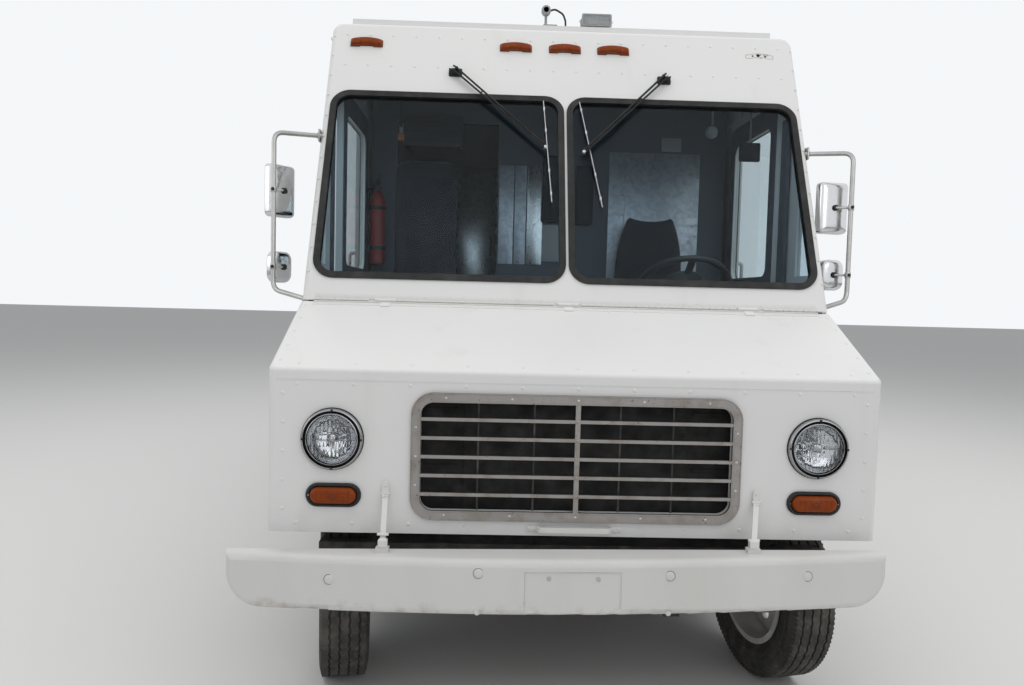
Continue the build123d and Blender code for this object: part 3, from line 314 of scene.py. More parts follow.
def mirrorChrome(name, colour, rough):
    chrome = Surface(name, colour, rough, 1.0)
    chrome.blotches((120, 4), (0.66, 0.74, 0.5), tuple(0.6 * part for part in colour))
    return chrome.gloss(chrome.noise(40, 4), rough * 0.6, rough * 2.2).material


def blackPaint(name, shade, rough, dust):
    black = Surface(name, (shade, shade, shade * 1.03), rough)
    black.blotches((12, 6), (0.48, 0.8, dust), (0.22, 0.19, 0.16))
    black.blotches((55, 4), (0.68, 0.75, dust), (0.16, 0.08, 0.04))
    black.gloss(black.noise(16, 4), rough * 0.8, min(1, rough * 1.3))
    return black.bump(black.noise(180, 4), 0.2, 0.0008).material


def rustySteel(name, colour, rust):
    steel = Surface(name, colour, 0.6, 0.4)
    steel.blotches((10, 6), (0.4, 0.7, rust), (0.20, 0.09, 0.045))
    steel.blotches((45, 5), (0.5, 0.8, rust), (0.10, 0.06, 0.04))
    return steel.bump(steel.noise(160, 5), 0.35, 0.001).material


def softRubber(name, shade, dust):
    rubber = Surface(name, (shade, shade, shade), 0.62)
    rubber.blotches((9, 5, (1, 1, 0.4)), (0.5, 0.8, dust), (0.17, 0.16, 0.15))
    rubber.gloss(rubber.noise(30, 4), 0.5, 0.75)
    return rubber.bump(rubber.noise(420, 3), 0.12, 0.0004).material


def tyreRubber():
    rubber = Surface("tyreRubber", (0.032, 0.031, 0.030), 0.78)
    rubber.blotches((11, 6), (0.42, 0.75, 0.75), (0.13, 0.115, 0.10))
    rubber.blotches((70, 5), (0.55, 0.8, 0.6), (0.19, 0.17, 0.15))
    rubber.gloss(rubber.noise(25, 4), 0.68, 0.9)
    return rubber.bump(rubber.noise(320, 4), 0.3, 0.0008).material


def colouredLens(name, colour, glow):
    lens = Surface(name, colour, 0.16)
    lens.blotches((30, 4), (0.45, 0.8, 0.5), glow)
    lens.blotches((110, 4), (0.66, 0.8, 0.16), (0.40, 0.30, 0.22))
    lens.set("Transmission Weight", 0.08).set("IOR", 1.28).set("Coat Weight", 0.04)
    return lens.gloss(lens.noise(60, 3), 0.12, 0.3).material


def clearGlass(name, tint, dusty, bend=1.46):
    glass = Surface(name, tint, 0.0)
    glass.set("Transmission Weight", 1.0).set("IOR", bend)
    glass.blotches((3, 5, (1, 1, 0.3)), (0.5, 0.95, dusty), (0.62, 0.63, 0.62))
    rays = glass.tree.nodes.new("ShaderNodeLightPath")
    passing = glass.tree.nodes.new("ShaderNodeBsdfTransparent")
    passing.inputs["Color"].default_value = (*tint, 1)
    mix = glass.tree.nodes.new("ShaderNodeMixShader")
    glass.tree.links.new(rays.outputs["Is Shadow Ray"], mix.inputs[0])
    glass.tree.links.new(glass.shader.outputs[0], mix.inputs[1])
    glass.tree.links.new(passing.outputs[0], mix.inputs[2])
    glass.tree.links.new(mix.outputs[0], glass.tree.nodes["Material Output"].inputs["Surface"])
    return glass.material


def moulded(name, colour, rough, grain, mark=(0.5, 0.5, 0.5)):
    plastic = Surface(name, colour, rough)
    plastic.blotches((6, 5), (0.5, 0.85, 0.3), mark)
    plastic.gloss(plastic.noise(18, 4), rough * 0.85, min(1, rough * 1.25))
    return plastic.bump(plastic.noise(grain, 3), 0.15, 0.0004).material


def seatCloth():
    # Black cloth, darkened further to paint the shade inside the cab
    cloth = Surface("seatCloth", (0.011, 0.013, 0.019), 0.85)
    cloth.blotches((260, 2), (0.4, 0.7, 0.5), (0.024, 0.028, 0.036))
    cloth.blotches((5, 4), (0.5, 0.8, 0.4), (0.04, 0.042, 0.045))
    return cloth.set("Sheen Weight", 0.08).bump(cloth.noise(700, 2), 0.35, 0.0006).material


finish = {
    "white": bodyWhite("bodyWhite", (0.80, 0.80, 0.795), 0.22),
    "bumper": bumperWhite(),
    "fitting": bodyWhite("fittingWhite", (0.76, 0.755, 0.74), 0.6),
    "grille": grilleSteel(),
    "chrome": mirrorChrome("lampChrome", (0.36, 0.36, 0.37), 0.10),
    "mirrorSteel": mirrorChrome("mirrorSteel", (0.70, 0.70, 0.71), 0.12),
    "mirrorGlass": mirrorChrome("mirrorGlass", (0.80, 0.82, 0.83), 0.03),
    "stainless": brushedSteel("stainlessSheet", (0.60, 0.61, 0.62), 0.26),
    "aluminium": brushedSteel("bareAluminium", (0.56, 0.565, 0.57), 0.38, (2, 2, 40)),
    "strip": brushedSteel("hingeStrip", (0.52, 0.515, 0.50), 0.36),
    "frame": blackPaint("frameBlack", 0.028, 0.6, 0.55),
    "satin": blackPaint("satinBlack", 0.012, 0.5, 0.10),
    "wiperBlack": blackPaint("wiperBlack", 0.005, 0.6, 0.04),
    "engine": rustySteel("engineIron", (0.10, 0.10, 0.105), 0.5),
    "exhaust": rustySteel("exhaustPipe", (0.24, 0.21, 0.19), 0.85),
    "axleIron": rustySteel("axleIron", (0.055, 0.052, 0.05), 0.6),
    # Black core, darkened further to paint the shade behind the grille
    "radiator": blackPaint("radiatorCoreBlackAndShade", 0.004, 0.85, 0.05),
    "rubber": softRubber("blackRubber", 0.009, 0.16),
    "tyre": tyreRubber(),
    "wheel": bodyWhite("wheelWhite", (0.62, 0.615, 0.60), 0.9),
    "amber": colouredLens("amberLens", (0.24, 0.040, 0.002), (0.34, 0.075, 0.003)),
    "red": colouredLens("redLens", (0.42, 0.012, 0.010), (0.60, 0.03, 0.02)),
    "clear": clearGlass("lampGlass", (0.96, 0.97, 0.97), 0.12),
    "glass": clearGlass("windscreenGlass", (0.64, 0.73, 0.78), 0.10, 1.18),
    "doorGlass": clearGlass("doorGlass", (0.86, 0.91, 0.90), 0.06),
    "dash": moulded("dashGrey", (0.085, 0.088, 0.095), 0.6, 500),
    "wheelPlastic": moulded("wheelBlack", (0.018, 0.018, 0.020), 0.45, 600, (0.06, 0.06, 0.06)),
    "seat": seatCloth(),
    "floorMetal": blackPaint("floorMetal", 0.022, 0.7, 0.2),
    # The partition door's dark colour, darkened further as painted shade inside the cab
    "darkShadedDoor": moulded("darkShadedDoorPanel", (0.010, 0.013, 0.021), 0.55, 300, (0.025, 0.028, 0.034)),
    "extinguisherRed": moulded("extinguisherRed", (0.24, 0.008, 0.008), 0.35, 200, (0.14, 0.012, 0.012)),
    "silver": brushedSteel("wiperSilver", (0.72, 0.72, 0.73), 0.24),
    "shadow": moulded("openingDark", (0.012, 0.012, 0.013), 0.8, 300, (0.03, 0.03, 0.03)),
    "reflector": mirrorChrome("lampReflector", (0.50, 0.515, 0.54), 0.06),
    # Ceiling and lining colours, darkened to paint the shade inside the cab; the wall pads and sun shade
    # share the ceiling's finish
    "headliner": moulded("headliner", (0.009, 0.012, 0.019), 0.85, 250, (0.018, 0.021, 0.028)),
    "cabLining": moulded("cabLining", (0.085, 0.098, 0.122), 0.6, 300, (0.062, 0.070, 0.086)),
    "galvanised": galvanisedSheet(),
    "paleTrim": moulded("paleTrim", (0.40, 0.41, 0.42), 0.5, 300, (0.28, 0.285, 0.29)),
    "orangeTrim": moulded("orangeTrim", (0.55, 0.20, 0.08), 0.5, 300, (0.40, 0.14, 0.06)),
    # Dark grey for the rings round the bumper bolts: painted shade, with some rust
    "ringShadeAndRust": moulded("boltRingShadeAndRust", (0.22, 0.22, 0.22), 0.6, 300, (0.35, 0.33, 0.30)),
    "stained": moulded("stainedPaint", (0.50, 0.47, 0.42), 0.6, 200, (0.36, 0.30, 0.24)),
    "housing": moulded("lampHousing", (0.34, 0.35, 0.36), 0.5, 300, (0.25, 0.25, 0.25)),
}
nodeFinishes = {
    "white": ("cab_front", "hood", "side_wall_left", "side_wall_right", "rear_wall", "roof", "cab_door_left",
              "cab_door_right", "rear_door_left", "rear_door_right", "serving_hatch"),
    "bumper": ("front_bumper",), "fitting": ("nose_fittings",), "grille": ("grille",),
    "frame": ("chassis_frame", "leaf_springs", "rear_step"), "cabLining": ("bulkhead",),
    "axleIron": ("front_axle", "rear_axle", "knuckle_left", "knuckle_right", "tie_rod"),
    "engine": ("engine_block",), "radiator": ("radiator",),
    "aluminium": ("fuel_tank",), "exhaust": ("exhaust",),
    "wheel": ("rim_front_left", "rim_front_right", "rims_rear_left", "rims_rear_right"),
    "floorMetal": ("floor", "firewall"), "rubber": ("windscreen_gaskets",), "glass": ("cab_glass",),
    "doorGlass": ("door_glass_left", "door_glass_right"), "red": ("tail_lamps",), "amber": ("marker_lamps",),
    "satin": ("wipers", "roof_lights"), "stainless": ("kitchen_units",), "mirrorSteel": ("mirrors",),
    "dash": ("dashboard",), "wheelPlastic": ("steering_wheel",), "seat": ("driver_seat",),
    "chrome": ("headlamps", "turn_signals"),
}


def finishNodes(table):
    for key, names in table.items():
        for name in names:
            cad = nodes[name]
            for index in range(len(cad.data.materials)):
                cad.data.materials[index] = finish[key]


finishNodes(nodeFinishes)
print("finishes set on", len(nodes), "nodes")


# Mesh tools
def addRings(shape, rings, slot=0, loop=True, caps=True):
    # Skins a row of rings of points, each ring closed when loop is set
    rows = [[shape.verts.new(point) for point in ring] for ring in rings]
    count = len(rows[0])
    for near, far in zip(rows, rows[1:]):
        for index in range(count if loop else count - 1):
            after = (index + 1) % count
            shape.faces.new((near[index], near[after], far[after], far[index])).material_index = slot
    if caps:
        for row in (rows[0], rows[-1]):
            shape.faces.new(row).material_index = slot
    return rows


def roundedOutline(width, height, corner, inset=0.0, steps=5):
    # Points round a rectangle with rounded corners, centred on nothing, in millimetres
    halfWide, halfHigh = width / 2 - inset, height / 2 - inset
    corner = max(0.01, corner - inset)
    points = []
    for quarter, (sideX, sideY) in enumerate(((1, 1), (-1, 1), (-1, -1), (1, -1))):
        for step in range(steps + 1):
            angle = math.pi / 2 * (quarter + step / steps)
            points.append((sideX * (halfWide - corner) + corner * math.cos(angle),
                           sideY * (halfHigh - corner) + corner * math.sin(angle)))
    return points


def insetOutline(points, inset):
    # Moves each side of an outline inward by the same distance
    moved = []
    area = sum(a[0] * b[1] - b[0] * a[1] for a, b in zip(points, points[1:] + points[:1]))
    sense = 1 if area > 0 else -1
    for index, corner in enumerate(points):
        before, after = Vector(points[index - 1]), Vector(points[(index + 1) % len(points)])
        first = (Vector(corner) - before).normalized()
        second = (after - Vector(corner)).normalized()
        inward = (Vector((-first.y, first.x)) + Vector((-second.y, second.x))) * sense
        spread = max(0.25, 0.5 * inward.length_squared)
        moved.append((corner[0] + inward.x / spread * inset, corner[1] + inward.y / spread * inset))
    return moved


def ringAt(face, centre, outline, lift, inset=0.0):
    points = insetOutline(outline, inset) if inset else outline
    return [face.at(centre[0] + u, centre[1] + v, lift) for u, v in points]


def addPlate(shape, face, outline, low, high, ease=1.5, slot=0, centre=(0, 0)):
    # A plate that stands from low to high over a face, with its front edge eased
    steps = ((0, low), (0, high - ease), (ease * 0.35, high - ease * 0.3), (ease, high))
    addRings(shape, [ringAt(face, centre, outline, lift, inset) for inset, lift in steps], slot)


def addPanel(shape, face, width, height, centre, low, high, corner=6, ease=1.5, slot=0):
    addPlate(shape, face, roundedOutline(width, height, corner), low, high, ease, slot, centre)


def addFrame(shape, face, outer, inner, centre, low, high, ease=2.0, slot=0):
    # A ring between two outlines of as many points, standing from low to high over a face
    steps = ((outer, 0, low), (outer, 0, high - ease), (outer, ease, high),
             (inner, -ease, high), (inner, 0, high - ease), (inner, 0, low))
    rings = [ringAt(face, centre, outline, lift, inset) for outline, inset, lift in steps]
    addRings(shape, rings + rings[:1], slot, caps=False)


def sideways(ahead):
    other = zAxis if abs(ahead.z) < 0.9 else xAxis
    first = ahead.cross(other).normalized()
    return first, ahead.cross(first).normalized()


def roundedPath(points, bend, steps=5):
    # Rounds the inner corners of a run of points, all in metres
    path = [points[0]]
    for before, corner, after in zip(points, points[1:], points[2:]):
        back, on = (before - corner), (after - corner)
        reach = min(bend, back.length * 0.45, on.length * 0.45)
        start, end = corner + back.normalized() * reach, corner + on.normalized() * reach
        for step in range(steps + 1):
            share = step / steps
            path.append(start * (1 - share) ** 2 + corner * 2 * share * (1 - share) + end * share ** 2)
    return path + [points[-1]]


def addPipe(shape, points, radius, sides=10, bend=0.0, slot=0, flat=1.0):
    # A round or flattened bar along points, in metres, with its radius in millimetres
    path = roundedPath(points, bend * mm) if bend else list(points)
    ahead = (path[1] - path[0]).normalized()
    first, second = sideways(ahead)
    rings = []
    for index, spot in enumerate(path):
        before, after = path[max(0, index - 1)], path[min(len(path) - 1, index + 1)]
        turned = (after - before).normalized()
        first = (first - turned * first.dot(turned)).normalized()
        second = turned.cross(first)
        rings.append([spot + (first * math.cos(turn) + second * math.sin(turn) * flat) * radius * mm
                      for turn in (2 * math.pi * side / sides for side in range(sides))])
    addRings(shape, rings, slot)


def addSpin(shape, profile, origin, axis, sides=24, slot=0, ripple=None, ring=False):
    # Spins (radius, along) steps about an axis; a radius of 0 at an end closes it to a point,
    # and a ring closes from its last step to its first, so that its middle stays open
    first, second = sideways(axis)
    rows = []
    for radius, along in profile:
        if radius < 0.01:
            rows.append([shape.verts.new(origin + axis * along * mm)])
            continue
        row = []
        for side in range(sides):
            turn = 2 * math.pi * side / sides
            shift = ripple(side, radius, along) if ripple else 0.0
            spoke = first * math.cos(turn) + second * math.sin(turn)
            row.append(shape.verts.new(origin + spoke * radius * mm + axis * (along + shift) * mm))
        rows.append(row)
    for near, far in zip(rows, rows[1:] + rows[:1] if ring else rows[1:]):
        for side in range(sides):
            after = (side + 1) % sides
            corners = [near[side % len(near)], near[after % len(near)]]
            corners = list(dict.fromkeys(corners + [far[after % len(far)], far[side % len(far)]]))
            if len(corners) > 2:
                shape.faces.new(corners).material_index = slot
    for row in () if ring else (rows[0], rows[-1]):
        if len(row) > 1:
            shape.faces.new(row).material_index = slot


def addDome(shape, spot, out, radius, height, slot=0, sides=8):
    steps = [(radius, -0.4), (radius, height * 0.25), (radius * 0.72, height * 0.75), (radius * 0.3, height)]
    addSpin(shape, steps, spot, out, sides, slot)


def addHexHead(shape, spot, out, radius, height, slot=0, washer=1.35):
    addSpin(shape, [(radius * washer, -0.4), (radius * washer, height * 0.2)], spot, out, 18, slot)
    steps = [(radius, height * 0.2), (radius, height * 0.9), (radius * 0.86, height)]
    addSpin(shape, steps, spot, out, 6, slot)


def makePiece(shape, name, bodyName, finishes, sharp=35):
    bmesh.ops.recalc_face_normals(shape, faces=shape.faces)
    mesh = bpy.data.meshes.new(name)
    shape.to_mesh(mesh)
    shape.free()
    for key in finishes:
        mesh.materials.append(finish[key])
    mesh.shade_smooth()
    mesh.set_sharp_from_angle(angle=math.radians(sharp))
    piece = bpy.data.objects.new(name, mesh)
    bpy.context.scene.collection.objects.link(piece)
    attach(piece, bodyName)
    return piece


def spaced(start, end, pitch):
    count = max(1, round(abs(end - start) / pitch))
    return [start + (end - start) * index / count for index in range(count + 1)]


rivet = {"radius": 7.5, "height": 2.8, "pitch": 117, "widePitch": 210, "edge": 103, "small": 5}


def addRow(shape, face, start, end, pitch, skip=None, radius=None, slot=0):
    steps = max(1, round(max(abs(end[0] - start[0]), abs(end[1] - start[1])) / pitch))
    for index in range(steps + 1):
        u = start[0] + (end[0] - start[0]) * index / steps
        v = start[1] + (end[1] - start[1]) * index / steps
        if skip and skip(u, v):
            continue
        addDome(shape, face.at(u, v), face.out, radius or rivet["radius"], rivet["height"], slot)


def addBlock(shape, low, high, ease=1.5, slot=0, segments=2):
    # A box between two (x, station, z) corners, with its edges eased
    made = bmesh.ops.create_cube(shape, size=1.0)["verts"]
    near, far = place(*low), place(*high)
    for vertex in made:
        vertex.co = Vector([(near[i] + far[i]) / 2 + vertex.co[i] * (far[i] - near[i]) for i in range(3)])
    faces = {face for vertex in made for face in vertex.link_faces}
    for face in faces:
        face.material_index = slot
    if ease:
        edges = list({edge for face in faces for edge in face.edges})
        bmesh.ops.bevel(shape, geom=edges, offset=ease * mm, segments=segments, affect="EDGES", material=-1)


def addStrip(shape, face, start, end, width, low, high, slot=0, ease=0.6):
    # A straight flat bar on a face between two points of its middle line
    along = Vector((end[0] - start[0], end[1] - start[1])).normalized()
    aside = Vector((-along.y, along.x)) * (width / 2)
    outline = [(start[0] + aside.x, start[1] + aside.y), (start[0] - aside.x, start[1] - aside.y),
               (end[0] - aside.x, end[1] - aside.y), (end[0] + aside.x, end[1] + aside.y)]
    addPlate(shape, face, outline, low, high, ease, slot)


def addBow(shape, face, u, span, lifts, radius, sides, bend, slot=0):
    # A bar that stands off a face on its two turned ends
    (low, high), (root, top) = span, lifts
    path = [face.at(u, low, root), face.at(u, low, top), face.at(u, high, top), face.at(u, high, root)]
    addPipe(shape, path, radius, sides, bend, slot)


def addGrabRail(shape, face, u, span, top, bend, sides):
    addBow(shape, face, u, span, (0, top), 11, 14, bend)
    for z in span:
        addSpin(shape, [(24, sunk), (24, 4), (14, 8)], face.at(u, z), face.out, sides, 0)


def addSmallLamp(shape, face, centre, settings, slot):
    # A rubber seat, always in the piece's second slot, with a smaller coloured lens on it
    (wide, high), base, corner, rim = settings["size"], settings["base"], settings["corner"], settings["rim"]
    addPanel(shape, face, wide, high, centre, sunk, base, corner, 2, 1)
    lens = (centre, base - 2, settings["top"], corner - 2, settings["ease"])
    addPanel(shape, face, wide - rim, high - rim, *lens, slot)


# Tyres and wheels
tyre = {
    "radius": 405.5, "width": 208, "bead": 250, "grooves": (-60, -20, 20, 60), "grooveWidth": 9,
    "grooveDepth": 9, "segments": 112, "zigzag": 2.6, "turn": math.radians(11), "twins": (750, 1000),
}
wheelNodes = {
    "tyre_front_left": ("wheel_front_left", 1, True), "tyre_front_right": ("wheel_front_right", -1, True),
    "tyres_rear_left": ("wheels_rear_left", 1, False), "tyres_rear_right": ("wheels_rear_right", -1, False),
}


def tyreProfile(settings):
    # (radius, offset) from one bead over the tread to the other
    half, outer = settings["width"] / 2, settings["radius"]
    bead = settings["bead"]
    flank = [(bead, 76), (bead + 14, 80), (bead + 24, 84), (bead + 34, 90), (bead + 36, 93),
             (bead + 52, half - 2), (bead + 78, half), (bead + 84, half), (bead + 88, half - 2),
             (outer - 50, half - 3), (outer - 46, half - 1), (outer - 34, half - 3), (outer - 22, half - 7),
             (outer - 10, half - 13), (outer - 3, half - 17), (outer - 1, half - 23)]
    crown = []
    for groove in settings["grooves"]:
        edge, deep = settings["grooveWidth"] / 2, settings["grooveDepth"]
        level = outer - abs(groove) * 0.012
        floor = level - deep
        crown += [(level, groove - edge), (floor, groove - edge + 2), (floor, groove + edge - 2),
                  (level, groove + edge)]
    return [(r, -x) for r, x in flank] + crown + [(r, x) for r, x in reversed(flank)]


def wheelLine(node, side, steered):
    # The middle of a wheel's box and its axle line, pointing to the given side
    low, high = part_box(node)
    axis = xAxis * side
    if steered:
        axis.rotate(Matrix.Rotation(tyre["turn"], 3, "Z"))
    return (low + high) / 2, axis


def makeTyre(settings, node, bodyName, side, steered):
    shape = bmesh.new()
    middle, axis = wheelLine(node, 1, steered)
    twins = [Vector((side * x * mm, middle.y, middle.z)) for x in settings["twins"]]
    centres = [middle] if steered else twins
    crownReach = settings["width"] / 2 - 26

    def zigzag(index, radius, along):
        if radius < settings["radius"] - 14 or abs(along) > crownReach:
            return 0.0
        return settings["zigzag"] * (1 if index % 2 else -1)

    for centre in centres:
        addSpin(shape, tyreProfile(settings), centre, axis, settings["segments"], 0, zigzag, ring=True)
        first, second = sideways(axis)
        for index in range(settings["segments"]):
            turn = 2 * math.pi * (index + 0.5) / settings["segments"]
            spoke = first * math.cos(turn) + second * math.sin(turn)
            along = second * math.cos(turn) - first * math.sin(turn)
            for hand in (-1, 1):
                shoulder = axis * hand * (settings["width"] / 2 - 12) + spoke * (settings["radius"] - 11)
                rib = Face(centre + shoulder * mm, along, spoke * 0.92 - axis * hand * 0.4, axis * hand)
                addPanel(shape, rib, 7, 18, (0, 0), -1, 2.0, 0.8, 0.5)
    piece = makePiece(shape, node + "_tread", bodyName, ["tyre"])
    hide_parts(node)


for nodeName, (bodyName, side, steered) in wheelNodes.items():
    makeTyre(tyre, nodeName, bodyName, side, steered)
print("tyres made")

wheelParts = {"discOut": 52, "rearDiscOut": -3, "nutCircle": 112, "nuts": 10, "nutRadius": 15, "valve": 205}


def makeWheelNuts(settings, node, bodyName, side, steered):
    shape = bmesh.new()
    middle, axis = wheelLine(node, side, steered)
    if not steered:
        middle = Vector((side * sum(tyre["twins"]) / 2 * mm, middle.y, middle.z))
    first, second = sideways(axis)
    seat = middle + axis * settings["discOut" if steered else "rearDiscOut"] * mm
    for index in range(settings["nuts"]):
        turn = 2 * math.pi * index / settings["nuts"]
        spot = seat + (first * math.cos(turn) + second * math.sin(turn)) * settings["nutCircle"] * mm
        addHexHead(shape, spot, axis, settings["nutRadius"], 24, 0)
        addSpin(shape, [(9, 20), (9, 34), (7, 36)], spot, axis, 12, 0)
    valve = seat + first * settings["valve"] * mm
    addPipe(shape, [valve, valve + axis * 26 * mm, valve + axis * 44 * mm + first * 8 * mm], 4, 8, 8, 1)
    makePiece(shape, node + "_nuts", bodyName, ["wheel", "satin"])


for nodeName, (bodyName, side, steered) in wheelNodes.items():
    makeWheelNuts(wheelParts, nodeName, bodyName, side, steered)
print("wheel nuts made")

# Headlamps: a chromed ring in a dark seat, and a fluted sealed-beam lens over its reflector
headlamp = {"x": 925, "z": 1168, "ring": 116, "lens": 95, "flutes": 13, "lensSteps": 72, "crown": 17}


def makeHeadlamp(settings, side):
    shape = bmesh.new()
    centre = noseFace.at(side * settings["x"], settings["z"])
    out = noseFace.out
    ring, lens = settings["ring"], settings["lens"]
    bed = [(ring - 6, -2), (ring + 3, -2), (ring + 3, 3), (ring - 6, 5)]
    trim = [(ring - 4, 1), (ring, 3), (ring, 12), (ring - 2, 18), (ring - 5, 21), (ring - 8, 21),
            (ring - 10, 16), (ring - 10, 4), (ring - 12, 4), (ring - 12, 1)]
    seat = [(ring - 10, 0), (ring - 10, 10), (ring - 12, 13), (ring - 15, 10), (ring - 15, 0)]
    retainer = [(lens + 5, 2), (lens + 5, 15), (lens + 3, 20), (lens, 21), (lens - 2, 17), (lens - 2, 4)]
    for steps, slot in ((bed, 2), (trim, 0), (seat, 2), (retainer, 0)):
        addSpin(shape, steps, centre, out, 64, slot, ring=True)
    for quarter in range(4):
        turn = math.pi / 2 * quarter
        spot = centre + (xAxis * math.cos(turn) + zAxis * math.sin(turn)) * (ring - 6) * mm + out * 19 * mm
        addSpin(shape, [(5, 0), (5, 3), (3, 4)], spot, out, 12, 2)

    def facet(index, radius, along):
        return (3.5 if index % 2 else -1.5) if 14 < radius < lens - 8 else 0.0

    border = [(lens + 1, 10), (lens - 2, 10), (lens - 4, -4), (lens - 9, -14), (lens, -16)]
    bowl = [((lens - 4) * math.cos(step), 8 - 62 * math.sin(step))
            for step in (0.36, 0.6, 0.75, 0.9, 1.05, 1.2, 1.45)]
    addSpin(shape, border, centre, out, 48, 2, ring=True)
    outside = [(0, -60), (30, -58), (70, -38), (lens - 1, -16)]
    addSpin(shape, outside + bowl + [(0, -54)], centre, out, 30, 1, facet)
    addSpin(shape, [(0, -20), (17, -20), (19, -6), (13, 2), (0, 4)], centre, out, 24, 0)
    piece = makePiece(shape, f"headlampRing_{side}", "nose", ["chrome", "reflector", "rubber"], 50)
    makeHeadlampLens(settings, side, centre)
    return piece


def lensDepth(settings, u, v, reach):
    # How far the fluted glass stands out at a point of its face
    share = min(1, (u ** 2 + v ** 2) / reach ** 2)
    crown = settings["crown"] + settings["crown"] * math.sqrt(max(0, 1 - share)) ** 1.2
    pitch = settings["lens"] * 2 / settings["flutes"]
    flute = 1.7 * abs(math.sin(math.pi * u / pitch)) + 0.9 * abs(math.sin(math.pi * v / pitch / 1.8))
    return crown + flute * (1 if share < 0.86 else 0)


def makeHeadlampLens(settings, side, centre):
    glass = bmesh.new()
    steps, reach, front = settings["lensSteps"], settings["lens"] - 3, []
    for row in range(steps + 1):
        line = []
        for column in range(steps + 1):
            u, v = 2 * column / steps - 1, 2 * row / steps - 1
            reachU = u * math.sqrt(1 - v * v / 2) * reach
            reachV = v * math.sqrt(1 - u * u / 2) * reach
            lift = noseFace.out * lensDepth(settings, reachU, reachV, reach)
            line.append(glass.verts.new(centre + (xAxis * reachU + zAxis * reachV + lift) * mm))
        front.append(line)
    for near, far in zip(front, front[1:]):
        for column in range(steps):
            glass.faces.new((near[column], near[column + 1], far[column + 1], far[column]))
    rim = front[0] + [line[-1] for line in front[1:]]
    rim += front[-1][-2::-1] + [line[0] for line in front[-2:0:-1]]
    back = [glass.verts.new(vertex.co - noseFace.out * 6 * mm) for vertex in rim]
    for index in range(len(rim)):
        after = (index + 1) % len(rim)
        glass.faces.new((rim[index], rim[after], back[after], back[index]))
    glass.faces.new(back)
    makePiece(glass, f"headlampLens_{side}", "nose", ["clear"], 60)


lampPieces = [makeHeadlamp(headlamp, side) for side in (-1, 1)]
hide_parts("headlamps")
print("headlamps made")

# Oval turn signals: a rubber seat and an amber lens with a round mark in its middle
turnSignal = {
    "x": 918, "z": 955, "length": 208, "height": 90, "lensLength": 174, "lensHeight": 62, "screw": 94,
    "lensSteps": ((0, 2), (0, 17), (2, 22), (6, 26), (12, 28.5), (20, 29.5)),
    "mark": [(15, 28), (15, 31), (12, 32), (11, 30.4), (4, 30.2), (3, 31), (0, 31.2)],
    "markRing": [(13, 30), (13, 31.6), (10, 31.8), (10, 30)],
}


def makeTurnSignal(settings, side):
    shape = bmesh.new()
    centre = (side * settings["x"], settings["z"])
    seat = roundedOutline(settings["length"], settings["height"], settings["height"] / 2, 0, 8)
    lensHole = (settings["lensLength"] + 2, settings["lensHeight"] + 2, settings["lensHeight"] / 2 + 1)
    seatIn = roundedOutline(*lensHole, 0, 8)
    addFrame(shape, noseFace, seat, seatIn, centre, -0.5, 15, 5, 1)
    length, height = settings["lensLength"], settings["lensHeight"]
    rings = [ringAt(noseFace, centre, roundedOutline(length, height, height / 2, inset, 8), lift)
             for inset, lift in settings["lensSteps"]]
    addRings(shape, rings, 0)
    for offset in (-3, -2, -1, 1, 2, 3):
        addPanel(shape, noseFace, 2.2, 40, (centre[0] + offset * 20, centre[1]), 27, 30.6, 1, 0.6, 0)
    addSpin(shape, settings["mark"], noseFace.at(*centre), noseFace.out, 28, 0)
    addSpin(shape, settings["markRing"], noseFace.at(*centre), noseFace.out, 28, 1, ring=True)
    for hand in (-1, 1):
        screw = noseFace.at(centre[0] + hand * settings["screw"], centre[1], 12)
        addDome(shape, screw, noseFace.out, 4, 3, 2)
    return makePiece(shape, f"turnSignal_{side}", "nose", ["amber", "rubber", "silver"])


signalPieces = [makeTurnSignal(turnSignal, side) for side in (-1, 1)]
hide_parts("turn_signals")
print("turn signals made")


# Rivets along the nose and the cab front
def makeNoseRivets():
    shape = bmesh.new()
    addRow(shape, noseFace, (-1060, 1376), (1060, 1376), rivet["widePitch"])
    addRow(shape, noseFace, (-1060, 846), (1060, 846), rivet["widePitch"], lambda u, v: abs(u) < 250)
    for side in (-1, 1):
        addRow(shape, noseFace, (side * 1112, 900), (side * 1112, 1340), rivet["edge"])
        addRow(shape, hoodFace, (side * 1136, 60), (side * 1136, 520), rivet["edge"])
        addRow(shape, sideFaces[side], (60, 860), (60, 1380), rivet["pitch"])
        addRow(shape, sideFaces[side], (60, body["creaseZ"]), (480, 1638), rivet["pitch"])
    addRow(shape, hoodFace, (-1060, 40), (1060, 40), rivet["widePitch"])
    addRow(shape, hoodFace, (-1110, 524), (1110, 524), rivet["pitch"], radius=6)
    makePiece(shape, "noseRivets", "nose", ["white"])


def makeCabRivets():
    shape = bmesh.new()
    for height in (3013, 2845):
        up = (height - body["hingeZ"]) / cabUp.z
        addRow(shape, cabFace, (-1090, up), (1090, up), rivet["pitch"])
    for side in (-1, 1):
        addRow(shape, cabFace, (side * 1154, 140), (side * 1154, 1440), rivet["pitch"], radius=6)
    makePiece(shape, "cabRivets", "truck", ["white"])


makeNoseRivets()
makeCabRivets()
print("nose and cab rivets made")

# Nose fittings: the long hinge, the grille's screws and rods, the latches' and handle's screws
noseTrim = {
    "hingePins": (-800, 0, 800), "hingeHalf": 1112, "knuckle": 30, "barrel": 5.0, "hingeUp": 564.6,
    "leaf": 26, "frameScrew": 5.5, "rods": (-376, -163, 166, 370), "grilleWide": 1260, "grilleHigh": 486,
    "grilleMid": 1109, "grilleCorner": 85, "latches": ((-721, 1012, -716), (693, 1004, 658)),
    "handleX": -3, "handleZ": 840, "pinRoom": 62, "leafPitch": 58, "barGap": 71.5,
    "grilleRim": ((1, 5, 11, 14), (31, 36.5, 10, 14.5)),
}


